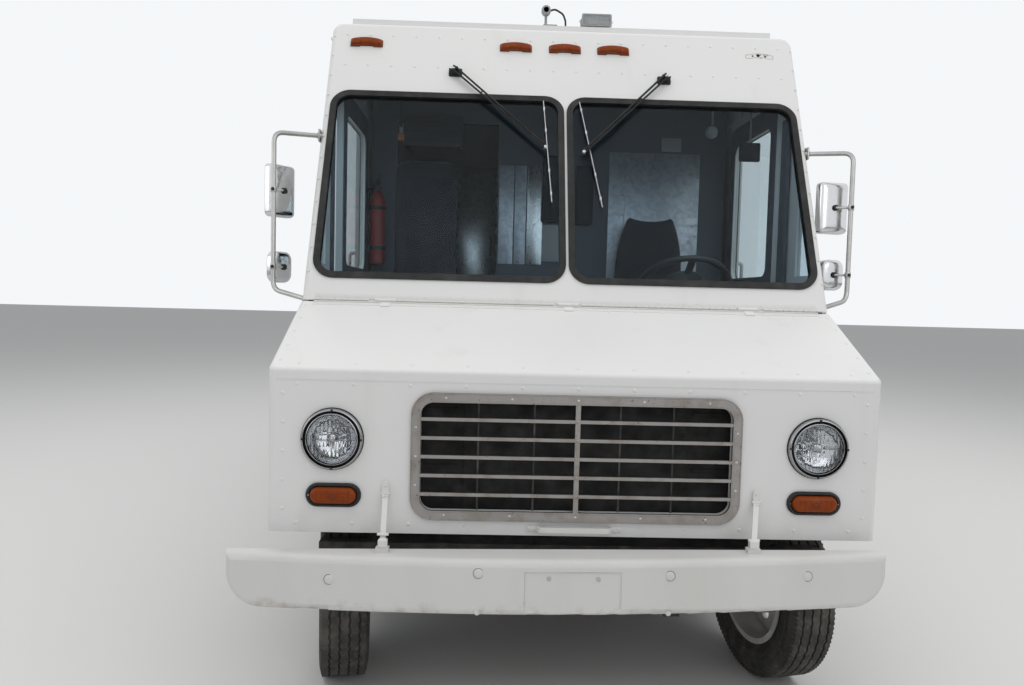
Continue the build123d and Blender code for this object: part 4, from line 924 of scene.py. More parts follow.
def makeNoseHinge(settings):
    leaves = {"nose": bmesh.new(), "truck": bmesh.new()}
    start, index = -settings["hingeHalf"], 0
    barrel, length = settings["barrel"], settings["knuckle"] - 2
    while start < settings["hingeHalf"]:
        middle = start + settings["knuckle"] / 2
        if all(abs(middle - pin) > settings["pinRoom"] for pin in settings["hingePins"]):
            steps = [(barrel * 0.8, 0), (barrel, 1), (barrel, length - 1), (barrel * 0.8, length)]
            shape = leaves["nose" if index % 2 else "truck"]
            addSpin(shape, steps, hoodFace.at(start, settings["hingeUp"], 8.5), xAxis, 10, 0)
        start, index = start + settings["knuckle"], index + 1
    reach = settings["hingeHalf"]
    addStrip(leaves["nose"], hoodFace, (-reach, 541), (reach, 541), settings["leaf"], sunk, 1.6)
    addStrip(leaves["nose"], hoodFace, (-reach, 556), (reach, 556), 8, sunk, 5.0)
    addRow(leaves["nose"], hoodFace, (-reach + 20, 538), (reach - 20, 538), settings["leafPitch"], radius=4)
    addStrip(leaves["truck"], cabFace, (-reach, 21), (reach, 21), settings["leaf"], sunk, 1.6)
    addRow(leaves["truck"], cabFace, (-reach + 20, 24), (reach - 20, 24), settings["leafPitch"], radius=4)
    for bodyName, shape in leaves.items():
        makePiece(shape, f"noseHinge_{bodyName}", bodyName, ["fitting"])


def makeGrilleTrim(settings):
    shape = bmesh.new()
    wide, high, corner = settings["grilleWide"], settings["grilleHigh"], settings["grilleCorner"]
    middle = settings["grilleMid"]
    for outer, inner, low, top in settings["grilleRim"]:
        edges = [roundedOutline(wide, high, corner, inset, 8) for inset in (outer, inner)]
        addFrame(shape, noseFace, *edges, (0, middle), low, top, 1, 0)
    screws = [(u, v) for u in spaced(-500, 500, 250) for v in (-224, 224)]
    screws += [(side * 611, v) for side in (-1, 1) for v in (-110, 0, 110)]
    for u, v in screws:
        addDome(shape, noseFace.at(u, middle + v, 12), noseFace.out, settings["frameScrew"], 3, 1)
    for x in settings["rods"]:
        addPipe(shape, placed((x, 14, 858), (x, 14, 1360)), 4, 8, 0, 2)
    for row in range(-2, 3):
        level = middle + row * settings["barGap"]
        for x in settings["rods"]:
            addPipe(shape, placed((x, 2, level), (x, 16, level)), 3, 8, 0, 2)
        addSpin(shape, [(6, 13.5), (6, 16), (3, 17.5)], noseFace.at(0, level), noseFace.out, 12, 0)
    makePiece(shape, "grilleTrim", "nose", ["grille", "strip", "frame"])


def makeLatchTrim(settings):
    shape = bmesh.new()
    for topX, topZ, footX in settings["latches"]:
        for drop in (14, 49):
            screw = noseFace.at(topX, topZ - drop)
            addSpin(shape, [(6.5, 15), (6.5, 18), (5, 19.5)], screw, noseFace.out, 14, 0)
        addPipe(shape, placed((topX - 17, -13, topZ - 46), (topX + 17, -13, topZ - 46)), 4.5, 10, 0, 0)
        addPipe(shape, placed((footX - 21, -105, 838), (footX + 21, -105, 838)), 5, 10, 0, 0)
        coil = []
        for turn in range(14):
            across, lift = 11 * math.cos(turn * 0.9), 5 * math.sin(turn * 0.9)
            coil.append(noseFace.at(topX + across, topZ - 52 - turn * 1.2, 20 + lift))
        addPipe(shape, coil, 1.6, 6, 0, 0)
    for hand in (-1, 1):
        for shift in (150, 172):
            spot = noseFace.at(settings["handleX"] + hand * shift, settings["handleZ"])
            addSpin(shape, [(5, 4.5), (5, 6.5), (3.5, 8)], spot, noseFace.out, 12, 0)
    makePiece(shape, "latchTrim", "nose", ["fitting"])


def makeNoseSeams():
    # The side returns' turned edges and the pressed vent panel on each of them
    shape = bmesh.new()
    for sideFace in (driverFace, kerbFace):
        addStrip(shape, sideFace, (30, 826), (500, 826), 18, sunk, 2.2, 1)
        addStrip(shape, sideFace, (500, 822), (500, 1650), 16, sunk, 2.2, 1)
        addPanel(shape, sideFace, 150, 90, (270, 1120), sunk, 1.6, 12, 0.8, 1)
        for index in range(5):
            addPanel(shape, sideFace, 120, 6, (270, 1090 + index * 15), 0, 5, 2.5, 2, 1)
    makePiece(shape, "noseSeams", "nose", ["ringShadeAndRust", "white"])


# Front bumper: carriage bolts, low-edge bolts, and the plate area's folded edge
bumperTrim = {
    "middle": -62, "front": -200, "bowRadius": 8516,
    "bolts": ((-900, 686), (-362, 729), (329, 729), (846, 721)), "lowBolts": ((-364, 584), (328, 590)),
    "boltHead": [(17, -1), (17, 0.8), (16, 2.6), (12, 4), (6, 4.7), (0, 4.9)], "plate": (-197, 153, 575, 740),
    "plateHoles": (-109, 69), "plateHoleZ": 714,
}


def bumperStation(settings, x):
    return settings["front"] + (x - settings["middle"]) ** 2 / (2 * settings["bowRadius"])


def makeBumperTrim(settings):
    shape = bmesh.new()
    for x, z in settings["bolts"]:
        spot = place(x, bumperStation(settings, x), z)
        addSpin(shape, settings["boltHead"], spot, -yAxis, 28, 0)
        # A dark ring round each bolt head: painted shade, with some rust
        addSpin(shape, [(19.5, -1), (19.5, 0.2), (18, 0.4)], spot, -yAxis, 28, 2)
    for x, z in settings["lowBolts"]:
        spot = place(x, bumperStation(settings, x) + 6, z)
        addSpin(shape, [(10, -3), (10, 3), (7, 6), (0, 7)], spot, -yAxis, 20, 0)
    left, right, low, high = settings["plate"]
    face = Face(place(0, -195, 0), xAxis, zAxis, -yAxis)
    addStrip(shape, face, (left + 3, high - 3), (right - 3, high - 3), 3, -0.5, 1.6, 0)
    for x in (left + 3, right - 3):
        addStrip(shape, face, (x, low + 32), (x, high - 4), 3, -0.5, 1.6, 0)
    for x in settings["plateHoles"]:
        spot = face.at(x, settings["plateHoleZ"])
        addSpin(shape, [(9, -0.5), (9, 1.2), (6.2, 1.6), (6.0, -5)], spot, -yAxis, 20, 1)
    for x in (-400, 460):
        for z in (628, 716):
            addHexHead(shape, place(x, -71, z), yAxis, 9, 8, 1)
    makePiece(shape, "bumperTrim", "truck", ["bumper", "strip", "ringShadeAndRust"])


# Roof marker lamps, and what is left where the fifth one is missing
markerLamp = {
    "places": (-991, -245, 2, 246), "missing": 991, "up": 1402.2, "half": 79, "low": -24, "shoulder": 13,
    "crown": 25, "notch": 30, "notchDepth": 5, "holes": ((-34, 0, 5), (-6, 4, 9), (30, -2, 5), (8, -10, 3)),
    "lensSteps": ((0, 2), (0.4, 8), (3.5, 9.5), (5, 10), (5.6, 19), (8, 22.5), (13, 24)),
}


def lampOutline(settings, inset=0.0, steps=8):
    side, low = settings["half"] - inset, settings["low"] + inset
    shoulder, crown = settings["shoulder"] - inset, settings["crown"] - inset
    notch, depth = settings["notch"], settings["notchDepth"]
    points = [(-notch - 4, low), (-notch, low + depth), (notch, low + depth), (notch + 4, low), (side, low)]
    rise = crown - shoulder
    radius = (side ** 2 + rise ** 2) / (2 * rise)
    reach = math.asin(side / radius)
    for step in range(2 * steps + 1):
        angle = reach * (1 - step / steps)
        points.append((radius * math.sin(angle), crown - radius + radius * math.cos(angle)))
    return points + [(-side, low)]


def makeMarkerLamps(settings):
    shape = bmesh.new()
    up = settings["up"]
    for x in settings["places"]:
        addPlate(shape, cabFace, lampOutline(settings, -1.5), -0.4, 2.5, 1, 1, (x, up))
        rings = [ringAt(cabFace, (x, up), lampOutline(settings, inset), lift)
                 for inset, lift in settings["lensSteps"]]
        addRings(shape, rings, 0)
        for step in range(-6, 7):
            addPanel(shape, cabFace, 1.6, 20, (x + step * 9.5, up + 1), 23, 24.6, 0.7, 0.4, 0)
        for hand in (-1, 1):
            addDome(shape, cabFace.at(x + hand * 71, up - 5, 10), cabFace.out, 3.6, 2.5, 2)
    lamps = makePiece(shape, "markerLamps", "truck", ["amber", "rubber", "silver"])
    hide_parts("marker_lamps")


def makeMissingLamp(settings):
    shape = bmesh.new()
    x, up = settings["missing"], settings["up"]
    addFrame(shape, cabFace, lampOutline(settings, 8), lampOutline(settings, 11), (x, up), sunk, 0.6, 0.2, 0)
    for u, v, radius in settings["holes"]:
        steps = [(radius, sunk), (radius, 0.5), (radius * 0.8, 0.6)]
        addSpin(shape, steps, cabFace.at(x + u, up + v), cabFace.out, 16, 1)
    addPanel(shape, cabFace, 26, 10, (x + 34, up + 8), -0.2, 3, 3, 1, 2)
    wire = [cabFace.at(x - 6, up + 4, 0), cabFace.at(x - 5, up + 2, 8), cabFace.at(x + 5, up - 3, 12)]
    addPipe(shape, wire, 1.8, 8, 4, 3)
    makePiece(shape, "missingLamp", "truck", ["stained", "shadow", "strip", "rubber"])


# Wipers: twin bars from clawed pivots above the glass, each with a slim blade
wiper = {
    "arms": (((-542, 1235), (-99, 805), (-108, 1074), (-70, 514)),
             ((494, 1229), (84, 784), (68, 1074), (165, 493))),
    "pivotLift": 31, "tipLift": 27, "bladeLift": 16, "barGap": 19, "bar": 6.2,
}


def makeWipers(settings):
    shape = bmesh.new()
    for pivot, tip, top, foot in settings["arms"]:
        start, end = Vector(pivot), Vector(tip)
        along = (end - start).normalized()
        aside = Vector((-along.y, along.x))
        addPanel(shape, cabFace, 66, 44, pivot, -0.4, 9, 8, 2, 0)
        addPanel(shape, cabFace, 40, 30, pivot, 8, 22, 6, 4, 0)
        for hand in (-1, 1):
            near = start + aside * hand * settings["barGap"] / 2
            far = end + aside * hand * settings["barGap"] * 0.3
            claw = near - along * 26 + aside * hand * 5
            lift = settings["pivotLift"]
            knee = near + along * 40
            path = [cabFace.at(*claw, 20), cabFace.at(*near, lift + 2), cabFace.at(*knee, lift),
                    cabFace.at(*far, settings["tipLift"])]
            addPipe(shape, path, settings["bar"], 8, 20, 0, 0.75)
            addSpin(shape, [(8, 20), (8, 34), (6, 37), (0, 38)], cabFace.at(*near), cabFace.out, 14, 0)
        for share in (0.30, 0.62, 0.9):
            spot = start + (end - start) * share
            reach = aside * (settings["barGap"] / 2 * (1 - 0.7 * share))
            addPipe(shape, [cabFace.at(*(spot + reach), 29), cabFace.at(*(spot - reach), 29)], 3.2, 8, 0, 0)
        addSpin(shape, [(9, 12), (9, 31), (6, 34), (0, 34.5)], cabFace.at(*tip), cabFace.out, 16, 1)
        lift = settings["bladeLift"]
        head, toe = Vector(top), Vector(foot)
        line = (toe - head).normalized()
        across = Vector((-line.y, line.x))
        addPipe(shape, [cabFace.at(*head, lift), cabFace.at(*toe, lift)], 2.8, 8, 0, 1, 0.8)
        lip = ((-3, lift - 2), (3, lift - 2), (2.4, 4), (0.6, -5.4), (-0.6, -5.4), (-2.4, 4))
        rings = [[cabFace.at(*(spot + across * reach), level) for reach, level in lip]
                 for spot in (head + line * 4, toe - line * 4)]
        addRings(shape, rings, 2)
        for share in (0.08, 0.30, 0.70, 0.92):
            addPanel(shape, cabFace, 9, 16, head + (toe - head) * share, lift - 6, lift + 4, 2, 1, 1)
    wipers = makePiece(shape, "wiperArms", "truck", ["wiperBlack", "silver", "rubber"])
    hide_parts("wipers")


makeNoseHinge(noseTrim)
makeGrilleTrim(noseTrim)
makeLatchTrim(noseTrim)
makeNoseSeams()
makeBumperTrim(bumperTrim)
print("nose and bumper trim made")
makeMarkerLamps(markerLamp)
makeMissingLamp(markerLamp)
makeWipers(wiper)
print("marker lamps and wipers made")

# Roof lights: the floodlight in its bracket, and the sensor head with its bent conduit
roofLight = {
    "top": 3127, "station": 1245, "flood": (97, 255), "sensor": -88, "rise": 88, "conduitFoot": 16,
    "shell": [(14, -27), (20, -27), (23, -25), (24, -20), (24, 12), (22, 20), (16, 25), (7, 27), (0, 27.5)],
    "eye": [(15, -23), (13, -24.5), (9, -25.6), (4, -26.2), (0, -26.4)],
}


def addFloodlight(shape, settings):
    top, middle = settings["top"], settings["station"]
    left, right = settings["flood"]
    addBlock(shape, (left + 4, middle - 30, top + 10), (right - 4, middle + 30, top + 72), 9, 0, 4)
    glassFace = Face(place((left + right) / 2, middle - 30, top + 41), xAxis, zAxis, -yAxis)
    addFrame(shape, glassFace, roundedOutline(156, 64, 9), roundedOutline(138, 48, 6), (0, 0), -1, 4, 1.5, 0)
    addPanel(shape, glassFace, 138, 48, (0, 0), -0.5, 1.5, 6, 0.6, 1)
    for step in range(-3, 4):
        addPanel(shape, glassFace, 2, 44, (step * 19, 0), 1, 2.6, 0.9, 0.5, 1)
    for step in range(9):
        x = left + 14 + step * 16
        addBlock(shape, (x, middle + 24, top + 16), (x + 3, middle + 34, top + 66), 0.8, 0, 1)
    for x, out in ((left, -1), (right, 1)):
        near, far = (x - 3, x + 1) if out < 0 else (x - 1, x + 3)
        addBlock(shape, (near, middle - 9, top + 4), (far, middle + 9, top + 52), 1, 2)
        addHexHead(shape, place(x + out * 2.5, middle, top + 42), xAxis * out, 7, 6, 3)
    addBlock(shape, (left - 3, middle - 9, top + 2), (right + 3, middle + 9, top + 6), 1, 2)
    foot = place((left + right) / 2, middle, top)
    addSpin(shape, [(16, 0), (16, 3), (9, 4), (9, 8), (6, 9)], foot, zAxis, 20, 2)


def addSensor(shape, settings):
    top, middle, x, rise = settings["top"], settings["station"], settings["sensor"], settings["rise"]
    addBlock(shape, (x - 6, middle - 30, top), (x + 60, middle + 30, top + 12), 3, 0)
    for u, v in ((2, -22), (52, -22), (2, 22), (52, 22)):
        addSpin(shape, [(4, 11), (4, 13.5), (2.5, 14.5)], place(x + u, middle + v, top), zAxis, 12, 3)
    addPipe(shape, placed((x, middle, top + 8), (x, middle, top + rise - 12)), 7, 14, 0, 0)
    addSpin(shape, [(13, 12), (13, 18), (8, 22)], place(x, middle, top), zAxis, 18, 0)
    head = place(x, middle, top + rise)
    addSpin(shape, settings["shell"], head, yAxis, 28, 0)
    addSpin(shape, [(14, -27), (13, -24), (12, -22)], head, yAxis, 28, 3)
    addSpin(shape, settings["eye"], head, yAxis, 28, 4)
    foot = settings["conduitFoot"]
    loop = [(x + 16, rise), (x + 46, rise + 12), (foot - 14, rise - 12), (foot, 40), (foot, 4)]
    addPipe(shape, [place(u, middle, top + v) for u, v in loop], 5, 10, 14, 5)
    addSpin(shape, [(9, 0), (9, 5), (7, 9), (5.4, 9.5)], place(foot, middle, top), zAxis, 16, 3)
    addSpin(shape, [(8, 0), (8, 5), (5.4, 6)], place(x + 20, middle, top + rise + 1), xAxis, 16, 3)


def makeRoofLights(settings):
    shape = bmesh.new()
    addFloodlight(shape, settings)
    addSensor(shape, settings)
    keys = ["housing", "clear", "strip", "silver", "shadow", "rubber"]
    lights = makePiece(shape, "roofLights", "truck", keys)
    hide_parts("roof_lights")


# Mirrors: tube loops bolted to the cab sides, with crowned steel heads and glass that faces back
mirror = {
    "station": 700, "tube": 11, "behind": 774, "head": (150, 241, 22), "lowHead": (120, 146, 40),
    "crown": ((0, -1), (0, -24), (2, -32), (7, -38.5), (16, -43), (30, -44.8), (48, -45)),
    "feet": ((1168, 860, 20), (1168, 600, -40)),
    "sides": (
        {"side": -1, "out": 1345, "high": 2440, "low": 1725, "yaw": -58,
         "head": (1348, 2182), "lowHead": (1348, 1830)},
        {"side": 1, "out": 1330, "high": 2425, "low": 1740, "yaw": 12,
         "head": (1260, 2175), "lowHead": (1268, 1860)},
    ),
}


def addMirrorHead(shape, face, size, crown):
    width, height, corner = size
    rings = [ringAt(face, (0, 0), roundedOutline(width, height, max(corner, inset + 4), inset, 6), lift)
             for inset, lift in crown]
    addRings(shape, rings, 0)
    outer, inner = roundedOutline(width, height, corner, 0, 6), roundedOutline(width, height, corner, 6, 6)
    addFrame(shape, face, outer, inner, (0, 0), -1.5, 1.2, 0.8, 2)
    addPanel(shape, face, width - 12, height - 12, (0, 0), -1.2, 0, corner - 6, 0.3, 1)


def makeMirrors(settings):
    shape = bmesh.new()
    station, tube = settings["station"], settings["tube"]
    collar = [(tube + 2.2, -14), (tube + 3, -12.8), (tube + 3, 12.8), (tube + 2.2, 14)]
    for each in settings["sides"]:
        side, out, high, low = each["side"], each["out"], each["high"], each["low"]
        (topX, topStation, rise), (lowX, lowStation, drop) = settings["feet"]
        path = [(topX, topStation, high + rise), (out, station, high), (out, station, low),
                (lowX, lowStation, low + drop)]
        addPipe(shape, [place(side * x, y, z) for x, y, z in path], tube, 14, 45, 3)
        wallFace = sideFaces[side]
        for along, middle in ((topStation, high + rise), (lowStation, low + drop)):
            addPanel(shape, wallFace, 50, 60, (along, middle), sunk, 6, 8, 1.5, 3)
            addSpin(shape, [(16, 5), (16, 12), (12, 16)], wallFace.at(along, middle), wallFace.out, 18, 3)
            for lift in (-22, 22):
                addHexHead(shape, wallFace.at(along, middle + lift, 5.5), wallFace.out, 5, 4, 2)
        yaw = math.radians(each["yaw"])
        across = Vector((side * math.cos(yaw), math.sin(yaw), 0))
        back = Vector((-side * math.sin(yaw), math.cos(yaw), 0))
        for key in ("head", "lowHead"):
            x, z = each[key]
            face = Face(place(side * x, settings["behind"], z), across, zAxis, back)
            addMirrorHead(shape, face, settings[key], settings["crown"])
            clamp = place(side * out, station, z)
            addSpin(shape, collar, clamp, zAxis, 18, 3)
            ball = face.at(0, 0, -46)
            addPipe(shape, [clamp, clamp + yAxis * 14 * mm, ball - yAxis * 6 * mm, ball], 6, 10, 8, 3)
            addSpin(shape, [(14, 0), (14, 4), (9, 7)], ball - back * 2 * mm, -back, 16, 2)
            addHexHead(shape, clamp - yAxis * (tube + 4) * mm, -yAxis, 6, 6, 2)
    heads = makePiece(shape, "mirrorHeads", "truck", ["mirrorSteel", "mirrorGlass", "rubber", "strip"], 40)
    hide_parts("mirrors")


# Cab doors: window rubber, lever handle, kick plate, rivets and a lining inside, darkened as painted shade
cabDoor = {
    "x": 1134, "thick": 34, "windowMid": (1455, 2246), "windowSize": (610, 788), "windowCorner": 60,
    "handle": (1190, 1480), "rivets": [(along, up) for along in (1110, 1225, 1340, 1455, 1570, 1685, 1800)
                                       for up in (508, 732, 790, 1790, 2720)],
    "edgeRivets": [(along, up) for up in (850, 960, 1070, 1180, 1290, 1400, 1510, 1620, 1730)
                   for along in (1100, 1810)],
}


def makeCabDoor(settings, side):
    shape = bmesh.new()
    face = Face(place(side * settings["x"], 0, 0), yAxis, zAxis, xAxis * side)
    wide, high = settings["windowSize"]
    corner, centre = settings["windowCorner"], settings["windowMid"]
    outer = roundedOutline(wide + 34, high + 34, corner + 17)
    inner = roundedOutline(wide - 14, high - 14, corner - 7)
    addFrame(shape, face, outer, inner, centre, -0.5, 4, 1.5, 0)
    u, v = settings["handle"]
    addPanel(shape, face, 150, 100, (u, v), sunk, 2, 14, 0.8, 1)
    addPanel(shape, face, 120, 62, (u, v - 4), 1.5, 2.6, 10, 0.3, 3)
    addPanel(shape, face, 104, 26, (u, v + 6), 2, 4.6, 6, 1, 2)
    addSpin(shape, [(10, 1), (10, 3), (4, 4), (0, 4)], face.at(u + 50, v + 62), face.out, 20, 2)
    addPanel(shape, face, 720, 250, (1455, 620), sunk, 1.5, 10, 0.6, 1)
    for along, up in settings["rivets"] + settings["edgeRivets"]:
        addDome(shape, face.at(along, up), face.out, 5.5, 2, 4)
    inside = -settings["thick"]
    addPanel(shape, face, 740, 1180, (1455, 1130), inside - 3.5, inside + 0.3, 20, 1, 5)
    cover = roundedOutline(760, 1000, 40)
    addFrame(shape, face, cover, inner, centre, inside - 3.5, inside + 0.3, 1, 5)
    addBow(shape, face, 1130, (1500, 1760), (inside, inside - 14), 6, 10, 8, 2)
    bodyName = "door_left" if side > 0 else "door_right"
    keys = ["rubber", "stainless", "silver", "shadow", "white", "cabLining"]
    makePiece(shape, f"cabDoorTrim_{bodyName}", bodyName, keys)


# Body sides: lap seams with rivet rows, rub rails, gutter, wheel arch lips, grab rails and lamps
sideTrim = {
    "seams": {1: (1960, 3080, 4200, 5320, 6390), -1: (1960, 2700, 4300, 5320, 6390)},
    "seamLow": 480, "seamHigh": 2990, "overArch": (4080, 5120), "rails": (560, 905), "railHigh": 34,
    "front": 1868, "rear": 6440, "archRadius": 480.5, "gutterZ": 3010,
    "gutter": ((-10, sunk), (-10, 3), (-8, 14), (4, 16), (6, 14), (-3, 11), (-3, 2), (12, 2), (12, sunk)),
    "doorway": (((1072, 460), (1072, 2788)), ((1838, 460), (1838, 2788)), ((1064, 2788), (1846, 2788))),
    "grabU": 1905, "grab": (1260, 1960), "lampZ": 1240, "filler": (2420, 740), "hatch": (3500, 2100),
    "socket": (2300, 1180), "vent": (3300, 1250),
}
sideLamp = {"size": (104, 44), "base": 8, "top": 18, "corner": 10, "rim": 12, "ease": 5}


def addRail(shape, face, start, end, z, height):
    # A hollow-backed aluminium rub rail with a rubber insert along its middle
    half = height / 2
    profile = [(-half, sunk), (-half, 5), (-half + 5, 10), (-6, 10), (-5, 7), (5, 7), (6, 10), (half - 5, 10),
               (half, 5), (half, sunk)]
    rings = [[face.at(u, z + up, lift) for up, lift in profile] for u in (start, end)]
    addRings(shape, rings, 0)
    addStrip(shape, face, (start, z), (end, z), 8, 6.5, 9.5, 1)


def addArchLip(shape, face, station, start, end, settings):
    points = []
    for step in range(37):
        turn = math.radians(start + (end - start) * step / 36)
        points.append(face.at(station + settings["archRadius"] * math.cos(turn),
                              tyre["radius"] + settings["archRadius"] * math.sin(turn), 2))
    addPipe(shape, points, 9, 8, 0, 1, 1.0)


def addSideSeams(shape, face, side, settings):
    before, after = settings["overArch"]
    for u in settings["seams"][side]:
        onArch = before < u < after
        start = (u, settings["seamLow"] + (430 if onArch else 0))
        addStrip(shape, face, start, (u, settings["seamHigh"]), 38, sunk, 1.6, 2)
        low = 920 if onArch else 500
        for hand in (-12, 12):
            addRow(shape, face, (u + hand, low), (u + hand, 2970), 100, radius=rivet["small"])


def addRails(shape, face, settings):
    front, rear, axle = settings["front"], settings["rear"], body["rearAxle"]
    for z in settings["rails"]:
        breaks = [front, rear]
        if z < tyre["radius"] + settings["archRadius"]:
            half = math.sqrt(settings["archRadius"] ** 2 - (z - tyre["radius"]) ** 2) + 20
            breaks = [front, axle - half, axle + half, rear]
        for start, end in zip(breaks[::2], breaks[1::2]):
            addRail(shape, face, start, end, z, settings["railHigh"])


def makeSideTrim(settings, side):
    shape = bmesh.new()
    face = sideFaces[side]
    addSideSeams(shape, face, side, settings)
    addRails(shape, face, settings)
    for start, end, z in ((1900, 4050, 478), (1900, 6400, 1010), (1160, 6400, 2960), (5150, 6400, 478)):
        addRow(shape, face, (start, z), (end, z), 112, radius=rivet["small"])
    rings = [[face.at(u, settings["gutterZ"] + up, lift) for up, lift in settings["gutter"]]
             for u in (1150, settings["rear"])]
    addRings(shape, rings, 2)
    addArchLip(shape, face, body["rearAxle"], 6, 174, settings)
    addArchLip(shape, face, body["frontAxle"], 6, 100, settings)
    for start, end in settings["doorway"]:
        addStrip(shape, face, start, end, 16, sunk, 3, 0)
    addGrabRail(shape, face, settings["grabU"], settings["grab"], 48, 30, 24)
    for u, slot in ((980, 3), (6340, 4)):
        addSmallLamp(shape, face, (u, settings["lampZ"]), sideLamp, slot)
    if side < 0:
        outer, inner = roundedOutline(1580, 980, 14, 0, 3), roundedOutline(1502, 902, 4, 0, 3)
        addFrame(shape, face, outer, inner, settings["hatch"], sunk, 2.4, 1, 0)
        filler = face.at(*settings["filler"])
        addSpin(shape, [(62, sunk), (62, 3), (56, 6), (50, 6), (48, 2), (44, 2)], filler, face.out, 36, 2)
        addSpin(shape, [(40, 0), (40, 14), (36, 19), (0, 20)], filler, face.out, 32, 5)
        addPanel(shape, face, 14, 60, settings["filler"], 18, 27, 5, 3, 5)
    else:
        addPanel(shape, face, 190, 150, settings["socket"], sunk, 3, 12, 1, 2)
        addPanel(shape, face, 160, 120, settings["socket"], 2.5, 6, 10, 1.5, 5)
        u, v = settings["vent"]
        addPanel(shape, face, 620, 480, (u, v), sunk, 2.4, 16, 1, 2)
        for step in range(14):
            addPanel(shape, face, 560, 12, (u, v - 200 + step * 31), 2, 9, 5, 4, 2)
    bodyKeys = ["aluminium", "rubber", "white", "amber", "red", "satin"]
    makePiece(shape, f"sideTrim_{'left' if side > 0 else 'right'}", "truck", bodyKeys)


# Serving hatch: edge trim, pressed ribs and two turn latches
hatchTrim = {
    "mid": (3500, 2100), "ribs": (1880, 2100, 2320), "hinges": (2900, 3500, 4100), "latches": (2960, 4040),
    "latchZ": 1740, "low": 1676, "high": 2524, "hingeRoom": 60,
}


def makeHatchTrim(settings):
    shape = bmesh.new()
    centre = settings["mid"]
    outer, inner = roundedOutline(1484, 884, 6, 0, 3), roundedOutline(1420, 820, 6, 0, 3)
    addFrame(shape, kerbFace, outer, inner, centre, sunk, 2.6, 1, 0)
    for up in settings["ribs"]:
        addPanel(shape, kerbFace, 1340, 26, (centre[0], up), sunk, 4, 12, 3, 1)
    for u in spaced(2780, 4220, 120):
        atHinge = any(abs(u - hinge) <= settings["hingeRoom"] for hinge in settings["hinges"])
        for up in (settings["low"],) if atHinge else (settings["low"], settings["high"]):
            addDome(shape, kerbFace.at(u, up, 2.4), kerbFace.out, 5, 2.4, 0)
    for u in settings["latches"]:
        spot = (u, settings["latchZ"])
        addPanel(shape, kerbFace, 96, 74, spot, sunk, 4, 12, 1.5, 0)
        knob = [(22, 3), (22, 8), (16, 10), (12, 14), (0, 14)]
        addSpin(shape, knob, kerbFace.at(*spot), kerbFace.out, 26, 0)
        addPanel(shape, kerbFace, 74, 14, spot, 12, 20, 6, 3, 0)
    inside = Face(place(-1140, 0, 0), yAxis, zAxis, xAxis)
    outer, inner = roundedOutline(1460, 860, 6, 0, 3), roundedOutline(1380, 780, 6, 0, 3)
    addFrame(shape, inside, outer, inner, centre, sunk, 3, 1, 0)
    makePiece(shape, "hatchTrim", "hatch", ["aluminium", "white"])


makeRoofLights(roofLight)
makeMirrors(mirror)
for side in (-1, 1):
    makeCabDoor(cabDoor, side)
    makeSideTrim(sideTrim, side)
makeHatchTrim(hatchTrim)
print("mirrors, doors and sides made")

# Rear wall and doors: lock rods and handles, blank plate holder, lamp bezels, small lamps and rivets
rearTrim = {
    "doorMid": 319, "doorWide": 616, "doorLow": 866, "doorHead": 2714, "lampX": 1000, "lamps": (1050, 1200),
    "rows": (((-1110, 660), (-1110, 3040)), ((1110, 660), (1110, 3040)), ((-1080, 3050), (1080, 3050)),
             ((-1080, 2780), (1080, 2780)), ((-690, 700), (-690, 2740)), ((690, 700), (690, 2740))),
    "bezel": [(70, sunk), (70, 3), (66, 7), (58, 8), (55.5, 5), (55.5, 0)], "smallLampZ": 2960,
    "grabX": 730, "grab": (1180, 1780), "plate": (860, 1420), "rod": 10, "rodX": 74, "leverZ": 1560,
    "ribs": (1240, 1790, 2340), "guides": (960, 1480, 2100, 2620), "rodEnds": (905, 2675),
}
rearLamp = {"size": (60, 26), "base": 6, "top": 14, "corner": 6, "rim": 8, "ease": 4}


def makeRearTrim(settings):
    shape = bmesh.new()
    for start, end in settings["rows"]:
        addRow(shape, rearFace, start, end, 110, radius=rivet["small"], slot=2)
    lampZ = settings["smallLampZ"]
    for side in (-1, 1):
        for z in settings["lamps"]:
            spot = rearFace.at(side * settings["lampX"], z)
            addSpin(shape, settings["bezel"], spot, rearFace.out, 40, 1)
            addSpin(shape, [(40, 22), (38, 25), (20, 26), (0, 26)], spot, rearFace.out, 30, 3)
        addSmallLamp(shape, rearFace, (side * 1040, lampZ), rearLamp, 3)
        addGrabRail(shape, rearFace, side * settings["grabX"], settings["grab"], 46, 28, 22)
    for x in (-90, 0, 90):
        addSmallLamp(shape, rearFace, (x, lampZ), rearLamp, 3)
    x, z = settings["plate"]
    outer, inner = roundedOutline(330, 180, 12), roundedOutline(306, 156, 8)
    addFrame(shape, rearFace, outer, inner, (x, z), sunk, 5, 1, 0)
    addPanel(shape, rearFace, 306, 156, (x, z), sunk, 2, 8, 0.6, 2)
    addPanel(shape, rearFace, 80, 26, (x, z + 104), sunk, 30, 6, 6, 0)
    for x in spaced(-960, 960, 48):
        addBlock(shape, (x - 16, body["rear"] + 12, 599.5), (x + 16, body["rear"] + 186, 603), 1.2, 4, 1)
    makePiece(shape, "rearTrim", "truck", ["aluminium", "rubber", "white", "red", "frame"])


